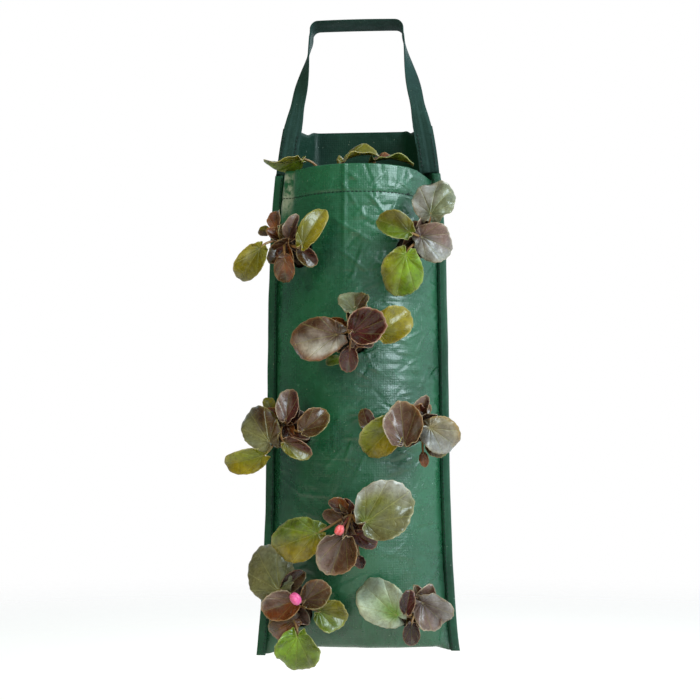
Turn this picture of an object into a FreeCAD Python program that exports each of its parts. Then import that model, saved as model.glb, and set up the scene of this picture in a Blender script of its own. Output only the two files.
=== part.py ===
import FreeCAD, Part
import Sketcher
import math
import os

# A hanging grow bag: a cloth bag on a strap loop, filled with soil and planted through its holes.
# Millimetres. +Z is up, the front faces -Y, and the origin is the middle of the strap's underside.

Vector = FreeCAD.Vector
doc = FreeCAD.newDocument("hanging_grow_bag")

SIZES = {
    # strap loop
    "loop_rise": 112,
    "loop_half_span": 51,
    "loop_bend_radius": 8,
    "loop_straight": 4,
    "strap_width": 32,
    "strap_sewn_width": 24,
    "strap_thickness": 2,
    "fold_gap": 0.3,
    # bag
    "side_height": 588,
    "panel_arc": 230,
    "flange_width": 10,
    "cloth_thickness": 0.8,
    "front_drop": 58,
    "back_drop": 3,
    "back_half_flat": 52,
    "back_slant": 66,
    "back_corner_radius": 25,
    "mouth_closing": 0.25,
    "arch_bottom": 51.5,
    "arch_middle": 69,
    "arch_top": 90,
    "arch_settle": 85,
    "belly_lift": 12,
    "belly_height": 48,
    # trim
    "binding_width": 9,
    "binding_thickness": 0.5,
    "thread_diameter": 0.8,
    "thread_inset": 7.5,
    "hem_depth": 30,
    "strap_thread_inset": 5,
    # filling and planting
    "soil_gap": 0.5,
    "soil_drop": 83,
    "hole_diameter": 32,
    "hole_first_row": 52,
    "hole_row_pitch": 96,
    "hole_hem_gap": 64,
    "hole_offset": 62,
    "plant_tilt": 20,
    "plug_mouth_diameter": 28,
    "plug_tail_diameter": 20,
    "plug_length": 45,
    "plug_clearance": 0.4,
    "crown_reach": 20,
    "stem_diameter": 6,
    "crown_diameter": 8,
    "leaf_stalk_diameter": 2.6,
    "leaf_thickness": 0.8,
    "bud_length": 14,
    "bud_diameter": 10,
}

sheet = doc.addObject("Spreadsheet::Sheet", "Sizes")
for row, (alias, number) in enumerate(SIZES.items(), start=1):
    sheet.set(f"A{row}", alias)
    sheet.set(f"B{row}", str(number))
    sheet.setAlias(f"B{row}", alias)
doc.recompute()


def size(alias):
    """The number in a cell of the sheet."""
    return float(sheet.get(alias))


def bind(item, **expressions):
    """Tie properties of an object to cells of the sheet."""
    for name, expression in expressions.items():
        item.setExpression(name, expression)


def shaped(name, shape):
    """A sub-part whose shape is worked out from the sheet."""
    item = doc.addObject("Part::Feature", name)
    item.Shape = shape
    return item


# Where the bag hangs

bag_bottom = -size("loop_rise") - size("side_height")
strap_middle_y = -size("strap_thickness") / 2
front_top = size("side_height") - size("front_drop")
back_top = size("side_height") - size("back_drop")
soil_top = size("side_height") - size("soil_drop")
cloth = size("cloth_thickness")

ARCH_TOP_POWER = 7
BELLY_START = 0.2
BELLY_STEPS = (0, 0.08, 0.18, 0.32, 0.5, 0.72, 1)
STATION_STEP = 45


def arch_angle(height):
    """Half the angle of the front panel's arc: wide at the bottom, round at the mouth."""
    low = (size("arch_middle") - size("arch_bottom")) * math.exp(-height / size("arch_settle"))
    rise = (size("arch_top") - size("arch_middle")) * (height / size("side_height")) ** ARCH_TOP_POWER
    return math.radians(size("arch_middle") - low + rise)


def arch_radius(height):
    return size("panel_arc") / 2 / arch_angle(height)


def half_width(height):
    """From the middle of the bag to its side seam."""
    return arch_radius(height) * math.sin(arch_angle(height))


def belly(height):
    """How full the bag is near its rounded bottom, up to 1."""
    rise = min(1, (height - size("belly_lift")) / size("belly_height"))
    share = BELLY_START + (1 - BELLY_START) * max(0, rise)
    return math.sqrt(1 - (1 - share) ** 2)


def front_depth(height):
    return belly(height) * arch_radius(height) * (1 - math.cos(arch_angle(height)))


def back_depth(height):
    """The back is flat in the middle, with slanted sides, and closes a little at the mouth."""
    side = half_width(height) - size("back_half_flat")
    closing = 1 - size("mouth_closing") * (height / size("side_height")) ** ARCH_TOP_POWER
    return belly(height) * closing * math.sqrt(size("back_slant") ** 2 - side**2)


def stations(top, bottom=None):
    """Heights of the sections: close together in the rounded bottom, and level with the cloth's edges."""
    heights = [size("belly_lift") + step * size("belly_height") for step in BELLY_STEPS]
    first = heights[-1]
    edges = sorted({soil_top, front_top, back_top})
    spans = max(1, round((edges[0] - first) / STATION_STEP))
    heights += [first + (edges[0] - first) * span / spans for span in range(1, spans)]
    heights += [edge for edge in edges if edge <= top]
    return heights if bottom is None else [bottom] + heights


def at(x, y, height):
    """A point from its height above the bag's bottom corners."""
    return Vector(x, y, bag_bottom + height)


def outline(height, start, moves):
    """A closed wire at one height. A move is the next corner, or a point to pass on an arc and its end."""
    edges = []
    here = at(*start, height)
    for move in moves + [start]:
        if isinstance(move, list):
            passing, stop = (at(*point, height) for point in move)
            edges.append(Part.Arc(here, passing, stop).toShape())
        else:
            stop = at(*move, height)
            if stop != here:
                edges.append(Part.LineSegment(here, stop).toShape())
        here = stop
    return Part.Wire(edges)


def straight_loft(wires):
    return Part.makeLoft(wires, True, True)


def back_moves(half, start_y, flat, depth, radius):
    """From the right side round the back: slanted side, rounded corner, flat middle, then mirrored."""
    turn = math.atan2(depth, half - flat)
    reach = radius * math.tan(turn / 2)
    slant = (flat + reach * math.cos(turn), depth - reach * math.sin(turn))
    bend = (flat - reach + radius * math.sin(turn / 2), depth - radius * (1 - math.cos(turn / 2)))
    level = (flat - reach, depth)
    start_x = half - start_y / math.tan(turn)
    right = [slant, [bend, level]]
    left = [(-level[0], level[1]), [(-bend[0], bend[1]), (-slant[0], slant[1])], (-start_x, start_y)]
    return (start_x, start_y), right + left


def backwards(start, moves):
    """The same path walked from its end to its start."""
    ends = [start] + [move[1] if isinstance(move, list) else move for move in moves]
    walk = []
    for index in range(len(moves) - 1, -1, -1):
        move = moves[index]
        walk.append([move[0], ends[index]] if isinstance(move, list) else ends[index])
    return ends[-1], walk


# Front panel

def front_edge(height):
    """The outside of the front cloth, from the right seam allowance to the left one."""
    half, depth = half_width(height) + cloth, front_depth(height) + cloth
    radius = (half**2 + depth**2) / (2 * depth)
    root = math.sqrt(radius**2 - (radius - depth + cloth) ** 2)
    edge = half_width(height) + size("flange_width")
    return (edge, -cloth), [(root, -cloth), [(0, -depth), (-root, -cloth)], (-edge, -cloth), (-edge, 0)]


def front_section(height):
    half, depth = half_width(height), front_depth(height)
    start, moves = front_edge(height)
    inner = [(-half, 0), [(0, -depth), (half, 0)], (start[0], 0)]
    return outline(height, start, moves + inner)


def front_floor():
    """The front half of the bag's bottom, as far as the fold."""
    height = size("belly_lift")
    start, moves = front_edge(height)
    wire = outline(height, start, moves + [(start[0], 0)])
    return Part.Face(wire).extrude(Vector(0, 0, -cloth))


def corner_ear(side, y_start):
    """The seam allowance below the rounded bottom, down to the corner of the fold."""
    wires = []
    for height in (0, size("belly_lift") - cloth):
        seam = side * half_width(height)
        edge = seam + side * size("flange_width")
        corners = [(edge, y_start), (edge, y_start + cloth), (seam, y_start + cloth)]
        wires.append(outline(height, (seam, y_start), corners))
    return straight_loft(wires)


def front_cloth():
    wall = straight_loft([front_section(height) for height in stations(front_top)])
    ears = [corner_ear(side, -cloth) for side in (-1, 1)]
    return wall.fuse([front_floor()] + ears)


# Back panel

def back_edge(height):
    """The outside of the back cloth, from the right seam allowance to the left one."""
    half, depth, flat = half_width(height), back_depth(height), size("back_half_flat")
    turn = math.atan2(depth, half - flat)
    grow = cloth * math.tan(turn / 2)
    outer_half = half + cloth / math.sin(turn)
    outer_radius = size("back_corner_radius") + cloth
    start, moves = back_moves(outer_half, cloth, flat + grow, depth + cloth, outer_radius)
    edge = half + size("flange_width")
    return (edge, cloth), [start] + moves + [(-edge, cloth), (-edge, 0)]


def back_section(height):
    half, depth, flat = half_width(height), back_depth(height), size("back_half_flat")
    start, moves = back_edge(height)
    inner_start, inner = backwards(*back_moves(half, 0, flat, depth, size("back_corner_radius")))
    return outline(height, start, moves + [inner_start] + inner + [(start[0], 0)])


def back_floor():
    """The back half of the bag's bottom, as far as the fold."""
    height = size("belly_lift")
    start, moves = back_edge(height)
    wire = outline(height, start, moves + [(start[0], 0)])
    return Part.Face(wire).extrude(Vector(0, 0, -cloth))


def back_cloth():
    wall = straight_loft([back_section(height) for height in stations(back_top)])
    ears = [corner_ear(side, 0) for side in (-1, 1)]
    return wall.fuse([back_floor()] + ears)


# Soil

SOIL_TIP = 5


def soil_body():
    """The filling, a little clear of the cloth and cut level at the top and above the fold."""
    gap = size("soil_gap")
    wires = []
    for height in stations(soil_top):
        half = half_width(height) - SOIL_TIP * gap
        flat = size("back_half_flat") - gap
        start, moves = back_moves(half, 0, flat, back_depth(height) - gap, size("back_corner_radius"))
        front = [[(0, gap - front_depth(height)), start]]
        wires.append(outline(height, start, moves + front))
    low = at(-size("panel_arc"), -size("panel_arc"), size("belly_lift") + gap)
    rise = soil_top - size("belly_lift") - gap
    room = Part.makeBox(2 * size("panel_arc"), 2 * size("panel_arc"), rise, low)
    return straight_loft(wires).common(room)


# Planting places: row from the bottom and side of the middle, for the plants in the holes

PLANT_HOLES = {1: (4, -1), 2: (4, 1), 3: (3, 0), 4: (2, -1), 5: (2, 1), 6: (1, 0), 7: (0, -1), 8: (0, 1)}
# plants in the open mouth: across and front of the middle
MOUTH_PLANTS = {9: (-38, 14), 10: (8, 14)}
# the rows share out the height below the hem's stitching, in proportion to their named spacings
top_row = max(row for row, _ in PLANT_HOLES.values())
rows_need = size("hole_first_row") + top_row * size("hole_row_pitch") + size("hole_hem_gap")
row_share = (front_top - size("hem_depth")) / rows_need


def planting_place(plant):
    """Where a plant's root plug meets the surface, and the way it grows."""
    if plant in MOUTH_PLANTS:
        across, front = MOUTH_PLANTS[plant]
        return at(across, -front, soil_top), Vector(0, 0, 1)
    row, side = PLANT_HOLES[plant]
    height = row_share * (size("hole_first_row") + row * size("hole_row_pitch"))
    radius = arch_radius(height)
    bearing = side * size("hole_offset") / radius
    outer = radius + cloth
    set_back = radius * math.cos(arch_angle(height))
    tilt = math.radians(size("plant_tilt"))
    place = at(outer * math.sin(bearing), set_back - outer * math.cos(bearing), height)
    level = math.cos(tilt)
    return place, Vector(math.sin(bearing) * level, -math.cos(bearing) * level, math.sin(tilt))


def along(start, direction):
    """A placement at a point whose Z axis runs along a direction."""
    return FreeCAD.Placement(start, FreeCAD.Rotation(Vector(0, 0, 1), direction))


def hole_cutter(plant):
    place, outward = planting_place(plant)
    cutter = doc.addObject("Part::Cylinder", f"hole_{plant}")
    bind(cutter, Radius="Sizes.hole_diameter / 2", Height="Sizes.hole_diameter")
    cutter.Placement = along(place - outward * size("hole_diameter") / 2, outward)
    return cutter


def pocket_cutters(plant):
    """The tapered pocket of a root plug, and the straight way out of it through the soil's face."""
    place, outward = planting_place(plant)
    mouth_radius = "Sizes.plug_mouth_diameter / 2 + Sizes.plug_clearance"
    pocket = doc.addObject("Part::Cone", f"pocket_{plant}")
    bind(
        pocket,
        Radius1="Sizes.plug_tail_diameter / 2 + Sizes.plug_clearance",
        Radius2=mouth_radius,
        Height="Sizes.plug_length + Sizes.plug_clearance",
    )
    pocket.Placement = along(place - outward * (size("plug_length") + size("plug_clearance")), outward)
    way_out = doc.addObject("Part::Cylinder", f"way_out_{plant}")
    bind(way_out, Radius=mouth_radius, Height="Sizes.hole_diameter / 2")
    way_out.Placement = along(place, outward)
    return [pocket, way_out]


def cut_from(name, base, cutters):
    tools = doc.addObject("Part::Compound", f"{name}_cutters")
    tools.Links = cutters
    result = doc.addObject("Part::Cut", name)
    result.Base = base
    result.Tool = tools
    return result


holes = [hole_cutter(plant) for plant in PLANT_HOLES]
front_panel = cut_from("front_panel", shaped("front_cloth", front_cloth()), holes)
back_panel = shaped("back_panel", back_cloth())
every_plant = list(PLANT_HOLES) + list(MOUTH_PLANTS)
pockets = [cutter for plant in every_plant for cutter in pocket_cutters(plant)]
soil_fill = cut_from("soil_fill", shaped("soil_body", soil_body()), pockets)
subparts = [front_panel, back_panel, soil_fill]


# Side bindings and their seam threads

def binding(side):
    """A tape folded round both seam allowances."""
    tape = size("binding_thickness")
    outside = cloth + tape
    wires = []
    for height in stations(front_top, 0):
        edge = half_width(height) + size("flange_width")
        start = edge - size("binding_width")
        corners = [(start, -outside), (edge + tape, -outside), (edge + tape, outside), (start, outside)]
        corners += [(start, cloth), (edge, cloth), (edge, -cloth), (start, -cloth)]
        corners = [(side * x, y) for x, y in corners]
        wires.append(outline(height, corners[0], corners[1:]))
    return straight_loft(wires)


def seam_thread(side):
    """A line of thread on the front of a binding."""
    thread = size("thread_diameter")
    face = -cloth - size("binding_thickness")
    wires = []
    for height in stations(front_top, 0):
        middle = half_width(height) + size("flange_width") - size("thread_inset")
        near, far = side * (middle - thread / 2), side * (middle + thread / 2)
        corners = [(far, face), (far, face - thread), (near, face - thread)]
        wires.append(outline(height, (near, face), corners))
    return straight_loft(wires)


for side, word in ((-1, "left"), (1, "right")):
    subparts.append(shaped(f"{word}_binding", binding(side)))
    subparts.append(shaped(f"{word}_seam_thread", seam_thread(side)))


# from the cloth to the middle of the hem thread, in thread diameters
HEM_STANDOFF = 0.75


def hem_thread():
    """The thread that holds the folded top of the front panel, bent round the panel."""
    height = front_top - size("hem_depth")
    thread = size("thread_diameter")
    radius = arch_radius(height)
    circle = Part.makeCircle(thread / 2, Vector(0, 0, 0), Vector(0, 1, 0))
    outer = radius + cloth + HEM_STANDOFF * thread
    middle = Vector(0, radius * math.cos(arch_angle(height)), bag_bottom + height)
    start = middle + Vector(outer, 0, 0)
    circle.translate(start)
    spread = math.degrees(arch_angle(height)) - math.degrees(size("flange_width") / radius)
    circle.rotate(middle, Vector(0, 0, 1), -90 - spread)
    return Part.Face(Part.Wire(circle)).revolve(middle, Vector(0, 0, 1), 2 * spread)


subparts.append(shaped("front_hem_thread", hem_thread()))


# Strap: two sewn ends on the bag and the loop above them

def sewn_edge(height):
    """The outer edge of the strap where it lies on the side seam."""
    return half_width(height) + size("flange_width")


def slanted_strip(side, inset, width, y_front, y_back, bottom, top):
    """A flat strip beside the seam, as wide at the top as at the bottom."""
    corners = []
    for height, edge in ((bottom, 0), (bottom, 1), (top, 1), (top, 0)):
        x = sewn_edge(height) - inset - edge * width
        corners.append(at(side * x, y_front, height))
    face = Part.Face(Part.makePolygon(corners + corners[:1]))
    return face.extrude(Vector(0, y_back - y_front, 0))


strap_bottom = front_top + size("fold_gap")
strap_top = size("side_height") - size("strap_thickness") / 2 - size("fold_gap")
for side, word in ((-1, "left"), (1, "right")):
    strip = slanted_strip(
        side, 0, size("strap_sewn_width"), -size("strap_thickness"), 0, strap_bottom, strap_top)
    subparts.append(shaped(f"{word}_strap_end", strip))
    inset = size("strap_thread_inset")
    thread = size("thread_diameter")
    face = -size("strap_thickness")
    rows = [
        slanted_strip(side, start, thread, face - thread, face, strap_bottom + inset, strap_top - inset)
        for start in (inset, size("strap_sewn_width") - inset - thread)
    ]
    subparts.append(shaped(f"{word}_strap_thread", Part.makeCompound(rows)))


# how near an edge lies to the place looked for
SAME_PLACE = 0.01


def plane_sketch(body, name, role):
    sketch = body.newObject("Sketcher::SketchObject", name)
    plane = next(item for item in body.Origin.OriginFeatures if item.Role == role)
    sketch.AttachmentSupport = [(plane, "")]
    sketch.MapMode = "FlatFace"
    return sketch


def sketch_rectangle(sketch, width, bottom, top):
    """A rectangle even about the upright axis, bound to the sheet. With no top it ends on the axis."""
    # a rough rectangle, which the constraints then size
    corners = [Vector(-10, -5, 0), Vector(10, -5, 0), Vector(10, 5, 0), Vector(-10, 5, 0)]
    for start, stop in zip(corners, corners[1:] + corners[:1]):
        sketch.addGeometry(Part.LineSegment(start, stop), False)
    for line in range(4):
        sketch.addConstraint(Sketcher.Constraint("Coincident", line, 2, (line + 1) % 4, 1))
    for line, kind in ((1, "Vertical"), (2, "Horizontal"), (3, "Vertical")):
        sketch.addConstraint(Sketcher.Constraint(kind, line))
    sketch.addConstraint(Sketcher.Constraint("Symmetric", 0, 1, 0, 2, -2))
    bound = [
        (Sketcher.Constraint("DistanceX", 0, 1, 0, 2, 20), width),
        (Sketcher.Constraint("DistanceY", 0, 1, -1, 1, 5), bottom),
    ]
    if top is None:
        sketch.addConstraint(Sketcher.Constraint("PointOnObject", 2, 1, -1))
    else:
        bound.append((Sketcher.Constraint("DistanceY", -1, 1, 2, 1, 5), top))
    for constraint, expression in bound:
        index = sketch.addConstraint(constraint)
        sketch.setExpression(f"Constraints[{index}]", expression)


def edges_at(shape, across, height):
    """Names of the edges along the strap's width at one place on both sides of the loop."""
    names = []
    for index, edge in enumerate(shape.Edges, start=1):
        middle = edge.CenterOfMass
        if abs(middle.z - height) < SAME_PLACE and abs(abs(middle.x) - across) < SAME_PLACE:
            names.append(f"Edge{index}")
    return names


def loop_top():
    """The strap's top run and its two bends, padded across the strap's width."""
    body = doc.addObject("PartDesign::Body", "loop_top")
    outline = plane_sketch(body, "loop_outline", "XZ_Plane")
    drop = "Sizes.loop_bend_radius + Sizes.loop_straight"
    sketch_rectangle(
        outline, "2 * (Sizes.loop_half_span + Sizes.strap_thickness)", drop, "Sizes.strap_thickness")
    pad = body.newObject("PartDesign::Pad", "loop_pad")
    pad.Profile = outline
    pad.Midplane = True
    bind(pad, Length="Sizes.strap_width")
    clearing = plane_sketch(body, "loop_clearing", "XZ_Plane")
    sketch_rectangle(clearing, "2 * Sizes.loop_half_span", drop, None)
    pocket = body.newObject("PartDesign::Pocket", "loop_pocket")
    pocket.Profile = clearing
    pocket.Midplane = True
    bind(pocket, Length="2 * Sizes.strap_width")
    doc.recompute()
    bends = body.newObject("PartDesign::Fillet", "loop_bends")
    bends.Base = (pocket, edges_at(pocket.Shape, size("loop_half_span"), 0))
    bind(bends, Radius="Sizes.loop_bend_radius")
    doc.recompute()
    rounds = body.newObject("PartDesign::Fillet", "loop_rounds")
    reach = size("loop_half_span") + size("strap_thickness")
    rounds.Base = (bends, edges_at(bends.Shape, reach, size("strap_thickness")))
    bind(rounds, Radius="Sizes.loop_bend_radius + Sizes.strap_thickness")
    bind(body, **{"Placement.Base.y": "-Sizes.strap_thickness / 2"})
    return body


LEG_STEPS = 8


def loop_leg():
    """The right leg of the loop: flat to the front where it is sewn, turned a quarter at the top."""
    foot_x = sewn_edge(size("side_height")) - size("strap_sewn_width") / 2
    bottom = Vector(foot_x, strap_middle_y, -size("loop_rise"))
    drop = size("loop_bend_radius") + size("loop_straight")
    top = Vector(size("loop_half_span") + size("strap_thickness") / 2, strap_middle_y, -drop)
    wires = []
    for step in range(LEG_STEPS + 1):
        share = step / LEG_STEPS
        turn = math.pi / 2 * share * share * (3 - 2 * share)
        width = size("strap_sewn_width") + (size("strap_width") - size("strap_sewn_width")) * share
        across = Vector(math.cos(turn), math.sin(turn), 0) * (width / 2)
        through = Vector(-math.sin(turn), math.cos(turn), 0) * (size("strap_thickness") / 2)
        middle = bottom + (top - bottom) * share
        corners = [middle - across - through, middle + across - through]
        corners += [middle + across + through, middle - across + through]
        wires.append(Part.makePolygon(corners + corners[:1]))
    return straight_loft(wires)


def fold_roll():
    """The rounded fold at the foot of a leg, where the bag swings on the strap."""
    roll = doc.addObject("Part::Cylinder", "fold_roll")
    bind(roll, Radius="Sizes.strap_thickness / 2", Height="Sizes.strap_sewn_width")
    roll.Angle = 180
    inner_edge = sewn_edge(size("side_height")) - size("strap_sewn_width")
    start = Vector(inner_edge, strap_middle_y, -size("loop_rise"))
    rounded_down = FreeCAD.Rotation(Vector(0, -1, 0), Vector(0, 0, -1), Vector(1, 0, 0), "ZXY")
    roll.Placement = FreeCAD.Placement(start, rounded_down)
    return roll


def mirrored(item):
    copy = doc.addObject("Part::Mirroring", f"{item.Name}_mirrored")
    copy.Source = item
    copy.Normal = Vector(1, 0, 0)
    return copy


leg = shaped("loop_leg", loop_leg())
roll = fold_roll()
hanging_loop = doc.addObject("Part::MultiFuse", "hanging_loop")
hanging_loop.Shapes = [loop_top(), leg, roll, mirrored(leg), mirrored(roll)]
subparts.append(hanging_loop)


# Plants: each leaf's middle from the hole (across, up, out), its length and width,
# the heading of its tip in the front view, how far the tip leans back, and its roll

LEAVES = {
    1: [
        (15, 16, 40, 52, 24, 60, 15, 0),
        (-49, -13, 30, 48, 28, 233, 20, 10),
        (-24, 30, 20, 28, 16, 92, 30, 20),
        (-37, 20, 20, 14, 12, 170, 10, 0),
        (-13, -21, 36, 30, 22, 270, 25, 0),
        (8, -8, 25, 28, 18, 315, 20, 0),
    ],
    2: [
        (28, 47, 30, 48, 46, 80, 20, 10),
        (27, 4, 32, 44, 40, 340, 20, 0),
        (-10, 18, 44, 44, 28, 155, 15, 0),
        (-5, -27, 40, 50, 44, 255, 20, 0),
    ],
    3: [
        (-31, -4, 42, 58, 44, 190, 15, 0),
        (4, 31, 30, 34, 32, 95, 40, 0),
        (16, 6, 50, 40, 38, 20, 10, 0),
        (43, 10, 36, 48, 36, 35, 15, 0),
        (-1, -23, 40, 26, 20, 265, 25, 0),
        (-19, -25, 25, 18, 11, 190, 10, 0),
    ],
    4: [
        (-37, -1, 34, 50, 40, 127, 20, 0),
        (-52, -31, 30, 50, 27, 193, 10, 15),
        (-10, 21, 32, 36, 24, 85, 20, 0),
        (17, 6, 36, 38, 27, 40, 15, 0),
        (0, -20, 42, 36, 20, 332, 15, 0),
        (-31, 26, 16, 18, 14, 100, 15, 0),
    ],
    5: [
        (-5, 0, 46, 48, 40, 95, 15, 0),
        (-25, -7, 36, 52, 38, 225, 15, 0),
        (-43, 7, 32, 28, 17, 110, 15, 0),
        (12, 18, 24, 28, 16, 25, 15, 0),
        (34, -7, 36, 46, 38, 325, 20, 0),
        (29, -18, 24, 28, 23, 310, 15, 0),
        (16, -31, 30, 15, 10, 280, 10, 0),
    ],
    6: [
        (33, 13, 46, 64, 58, 35, 15, 0),
        (-52, -17, 34, 58, 44, 200, 15, 0),
        (-10, -25, 48, 44, 42, 250, 20, 0),
        (-18, 5, 30, 24, 15, 160, 15, 0),
        (13, -16, 36, 27, 18, 330, 15, 0),
        (9, -40, 34, 14, 12, 280, 10, 0),
    ],
    7: [
        (-27, 40, 30, 60, 50, 125, 20, 0),
        (-4, 33, 34, 30, 18, 40, 15, 0),
        (-10, 12, 46, 40, 31, 200, 15, 0),
        (-10, -10, 40, 36, 25, 210, 15, 0),
        (20, 21, 44, 32, 29, 30, 15, 0),
        (36, 0, 34, 36, 33, 340, 15, 0),
        (3, -33, 44, 44, 46, 265, 20, 0),
    ],
    8: [
        (-29, 14, 34, 62, 46, 140, 15, 0),
        (-2, 14, 50, 26, 16, 80, 15, 0),
        (22, 5, 34, 44, 38, 315, 20, 0),
        (2, -15, 47, 24, 18, 270, 15, 0),
    ],
    9: [(-39, 38, 11, 44, 30, 185, 0, 70)],
    10: [
        (-4, 32, 31, 46, 34, 15, 0, 65),
        (29, 29, 21, 46, 32, 0, 0, 75),
    ],
}
# flower buds: the middle of the bud from the hole (across, up, out)
BUDS = {6: (-9, -6, 66), 7: (3, 19, 64)}
LEAF_CURL = 0.1


def leaf_frame(plant, leaf):
    """The foot of a leaf blade and its axes: along the midrib, across it and out of its face."""
    across, up, out, length, _, heading, lean, roll_angle = leaf
    place, _ = planting_place(plant)
    heading, lean, roll_angle = (math.radians(angle) for angle in (heading, lean, roll_angle))
    level = Vector(math.cos(heading), 0, math.sin(heading))
    facing = Vector(0, -1, 0)
    midrib = level * math.cos(lean) - facing * math.sin(lean)
    face = facing * math.cos(lean) + level * math.sin(lean)
    side = face.cross(midrib)
    face = face * math.cos(roll_angle) + side * math.sin(roll_angle)
    side = face.cross(midrib)
    middle = place + Vector(across, -out, up)
    return middle - midrib * (length / 2), midrib, side, face


def leaf_blade(plant, leaf):
    """An oval blade of even thickness, curled back along its midrib."""
    length, width = leaf[3:5]
    thickness = size("leaf_thickness")
    sag = LEAF_CURL * length
    upper = Part.Arc(Vector(0, 0, 0), Vector(length / 2, 0, sag), Vector(length, 0, 0)).toShape()
    lower = upper.translated(Vector(0, 0, -thickness))
    ends = [Part.makeLine(Vector(x, 0, 0), Vector(x, 0, -thickness)) for x in (0, length)]
    strip = Part.Face(Part.Wire([upper, ends[1], lower, ends[0]])).extrude(Vector(0, 2 * width, 0))
    strip.translate(Vector(0, -width, 0))
    centre = Vector(length / 2, 0, -length)
    points = [centre + Vector(length / 2, 0, 0), centre + Vector(0, width / 2, 0)]
    if width > length:
        points.reverse()
    oval = Part.Ellipse(*points, centre)
    prism = Part.Face(Part.Wire(oval.toShape())).extrude(Vector(0, 0, 2 * length))
    blade = strip.common(prism)
    foot, midrib, side, face = leaf_frame(plant, leaf)
    blade.Placement = FreeCAD.Placement(foot, FreeCAD.Rotation(midrib, side, face, "ZXY"))
    return blade


def rod(name, start, stop, diameter):
    """A round rod between two points, with its diameter in the sheet."""
    item = doc.addObject("Part::Cylinder", name)
    bind(item, Radius=f"Sizes.{diameter} / 2")
    item.Height = start.distanceToPoint(stop)
    item.Placement = along(start, stop - start)
    return item


def branch(name, crown, stop):
    """A leaf or bud stalk, which starts inside the crown's round knot."""
    start = crown + (stop - crown).normalize() * (size("crown_diameter") / 4)
    return rod(name, start, stop, "leaf_stalk_diameter")


def plant_nodes(plant):
    """Root plug, branched stem, leaf blades and any bud of one plant."""
    name = f"plant_{plant}"
    place, outward = planting_place(plant)
    plug = doc.addObject("Part::Cone", f"{name}_plug")
    bind(
        plug,
        Radius1="Sizes.plug_tail_diameter / 2",
        Radius2="Sizes.plug_mouth_diameter / 2",
        Height="Sizes.plug_length",
    )
    plug.Placement = along(place - outward * size("plug_length"), outward)
    crown = place + outward * size("crown_reach")
    knot = doc.addObject("Part::Sphere", f"{name}_crown")
    bind(knot, Radius="Sizes.crown_diameter / 2")
    knot.Placement = along(crown, outward)
    branches = [rod(f"{name}_stalk", place, crown, "stem_diameter"), knot]
    for index, leaf in enumerate(LEAVES[plant]):
        foot, midrib, _, _ = leaf_frame(plant, leaf)
        branches.append(branch(f"{name}_leaf_stalk_{index}", crown, foot + midrib))
    nodes = [plug]
    if plant in BUDS:
        across, up, out = BUDS[plant]
        middle = place + Vector(across, -out, up)
        bud = doc.addObject("Part::Ellipsoid", f"{name}_bud")
        bud_radius = "Sizes.bud_diameter / 2"
        bind(bud, Radius1="Sizes.bud_length / 2", Radius2=bud_radius, Radius3=bud_radius)
        bud.Placement = along(middle, middle - crown)
        foot = middle - (middle - crown).normalize() * (size("bud_length") / 2 - size("leaf_thickness"))
        branches.append(branch(f"{name}_bud_stalk", crown, foot))
    stem = doc.addObject("Part::MultiFuse", f"{name}_stem")
    stem.Shapes = branches
    doc.recompute()
    blades = [leaf_blade(plant, leaf).cut(stem.Shape) for leaf in LEAVES[plant]]
    leaves = shaped(f"{name}_leaves", Part.makeCompound(blades))
    nodes += [stem, leaves]
    if plant in BUDS:
        whole = doc.addObject("Part::Cut", f"{name}_flower_bud")
        whole.Base = bud
        whole.Tool = stem
        nodes.append(whole)
    return nodes


for plant in every_plant:
    subparts += plant_nodes(plant)

doc.recompute()
for item in doc.Objects:
    if "Invalid" in item.State or "Error" in item.State:
        raise RuntimeError(f"{item.Name} failed: {item.State}")
os.makedirs("parts", exist_ok=True)
for item in subparts:
    item.Label = item.Name
    if item.Shape.isNull() or not item.Shape.isValid() or item.Shape.Volume <= 0:
        raise RuntimeError(f"{item.Name} has no valid shape")
for item in subparts:
    item.Shape.exportStep(f"parts/{item.Label}.step")
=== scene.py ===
import math
from collections import namedtuple

import bpy
import numpy as np
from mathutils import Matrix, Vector

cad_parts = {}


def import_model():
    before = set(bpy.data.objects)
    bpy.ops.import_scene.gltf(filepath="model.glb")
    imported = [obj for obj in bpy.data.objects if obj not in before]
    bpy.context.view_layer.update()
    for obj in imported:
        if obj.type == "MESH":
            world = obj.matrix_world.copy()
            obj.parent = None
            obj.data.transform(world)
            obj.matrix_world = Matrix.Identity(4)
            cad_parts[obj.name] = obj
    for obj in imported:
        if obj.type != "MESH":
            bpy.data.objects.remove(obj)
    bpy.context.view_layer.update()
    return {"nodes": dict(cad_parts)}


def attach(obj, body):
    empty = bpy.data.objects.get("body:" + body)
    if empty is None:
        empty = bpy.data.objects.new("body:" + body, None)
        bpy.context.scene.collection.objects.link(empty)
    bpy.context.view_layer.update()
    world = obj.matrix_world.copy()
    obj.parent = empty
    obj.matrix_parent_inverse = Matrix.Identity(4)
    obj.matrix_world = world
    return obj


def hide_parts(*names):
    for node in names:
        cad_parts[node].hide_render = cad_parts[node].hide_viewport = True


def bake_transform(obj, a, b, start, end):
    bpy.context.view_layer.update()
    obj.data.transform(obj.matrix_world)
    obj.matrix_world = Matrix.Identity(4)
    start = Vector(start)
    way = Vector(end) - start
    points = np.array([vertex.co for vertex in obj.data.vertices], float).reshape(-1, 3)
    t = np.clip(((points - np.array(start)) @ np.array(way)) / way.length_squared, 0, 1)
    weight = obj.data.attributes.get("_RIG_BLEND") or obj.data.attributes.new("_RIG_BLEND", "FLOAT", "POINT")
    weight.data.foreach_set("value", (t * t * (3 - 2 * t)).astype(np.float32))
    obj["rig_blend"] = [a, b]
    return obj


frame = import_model()
scene = bpy.context.scene

# A hanging grow bag of green laminated cloth, planted through its holes.
# Lengths are in millimetres until a mesh is made. Heights are above the bag's bottom corners.

MM = 0.001

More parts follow.
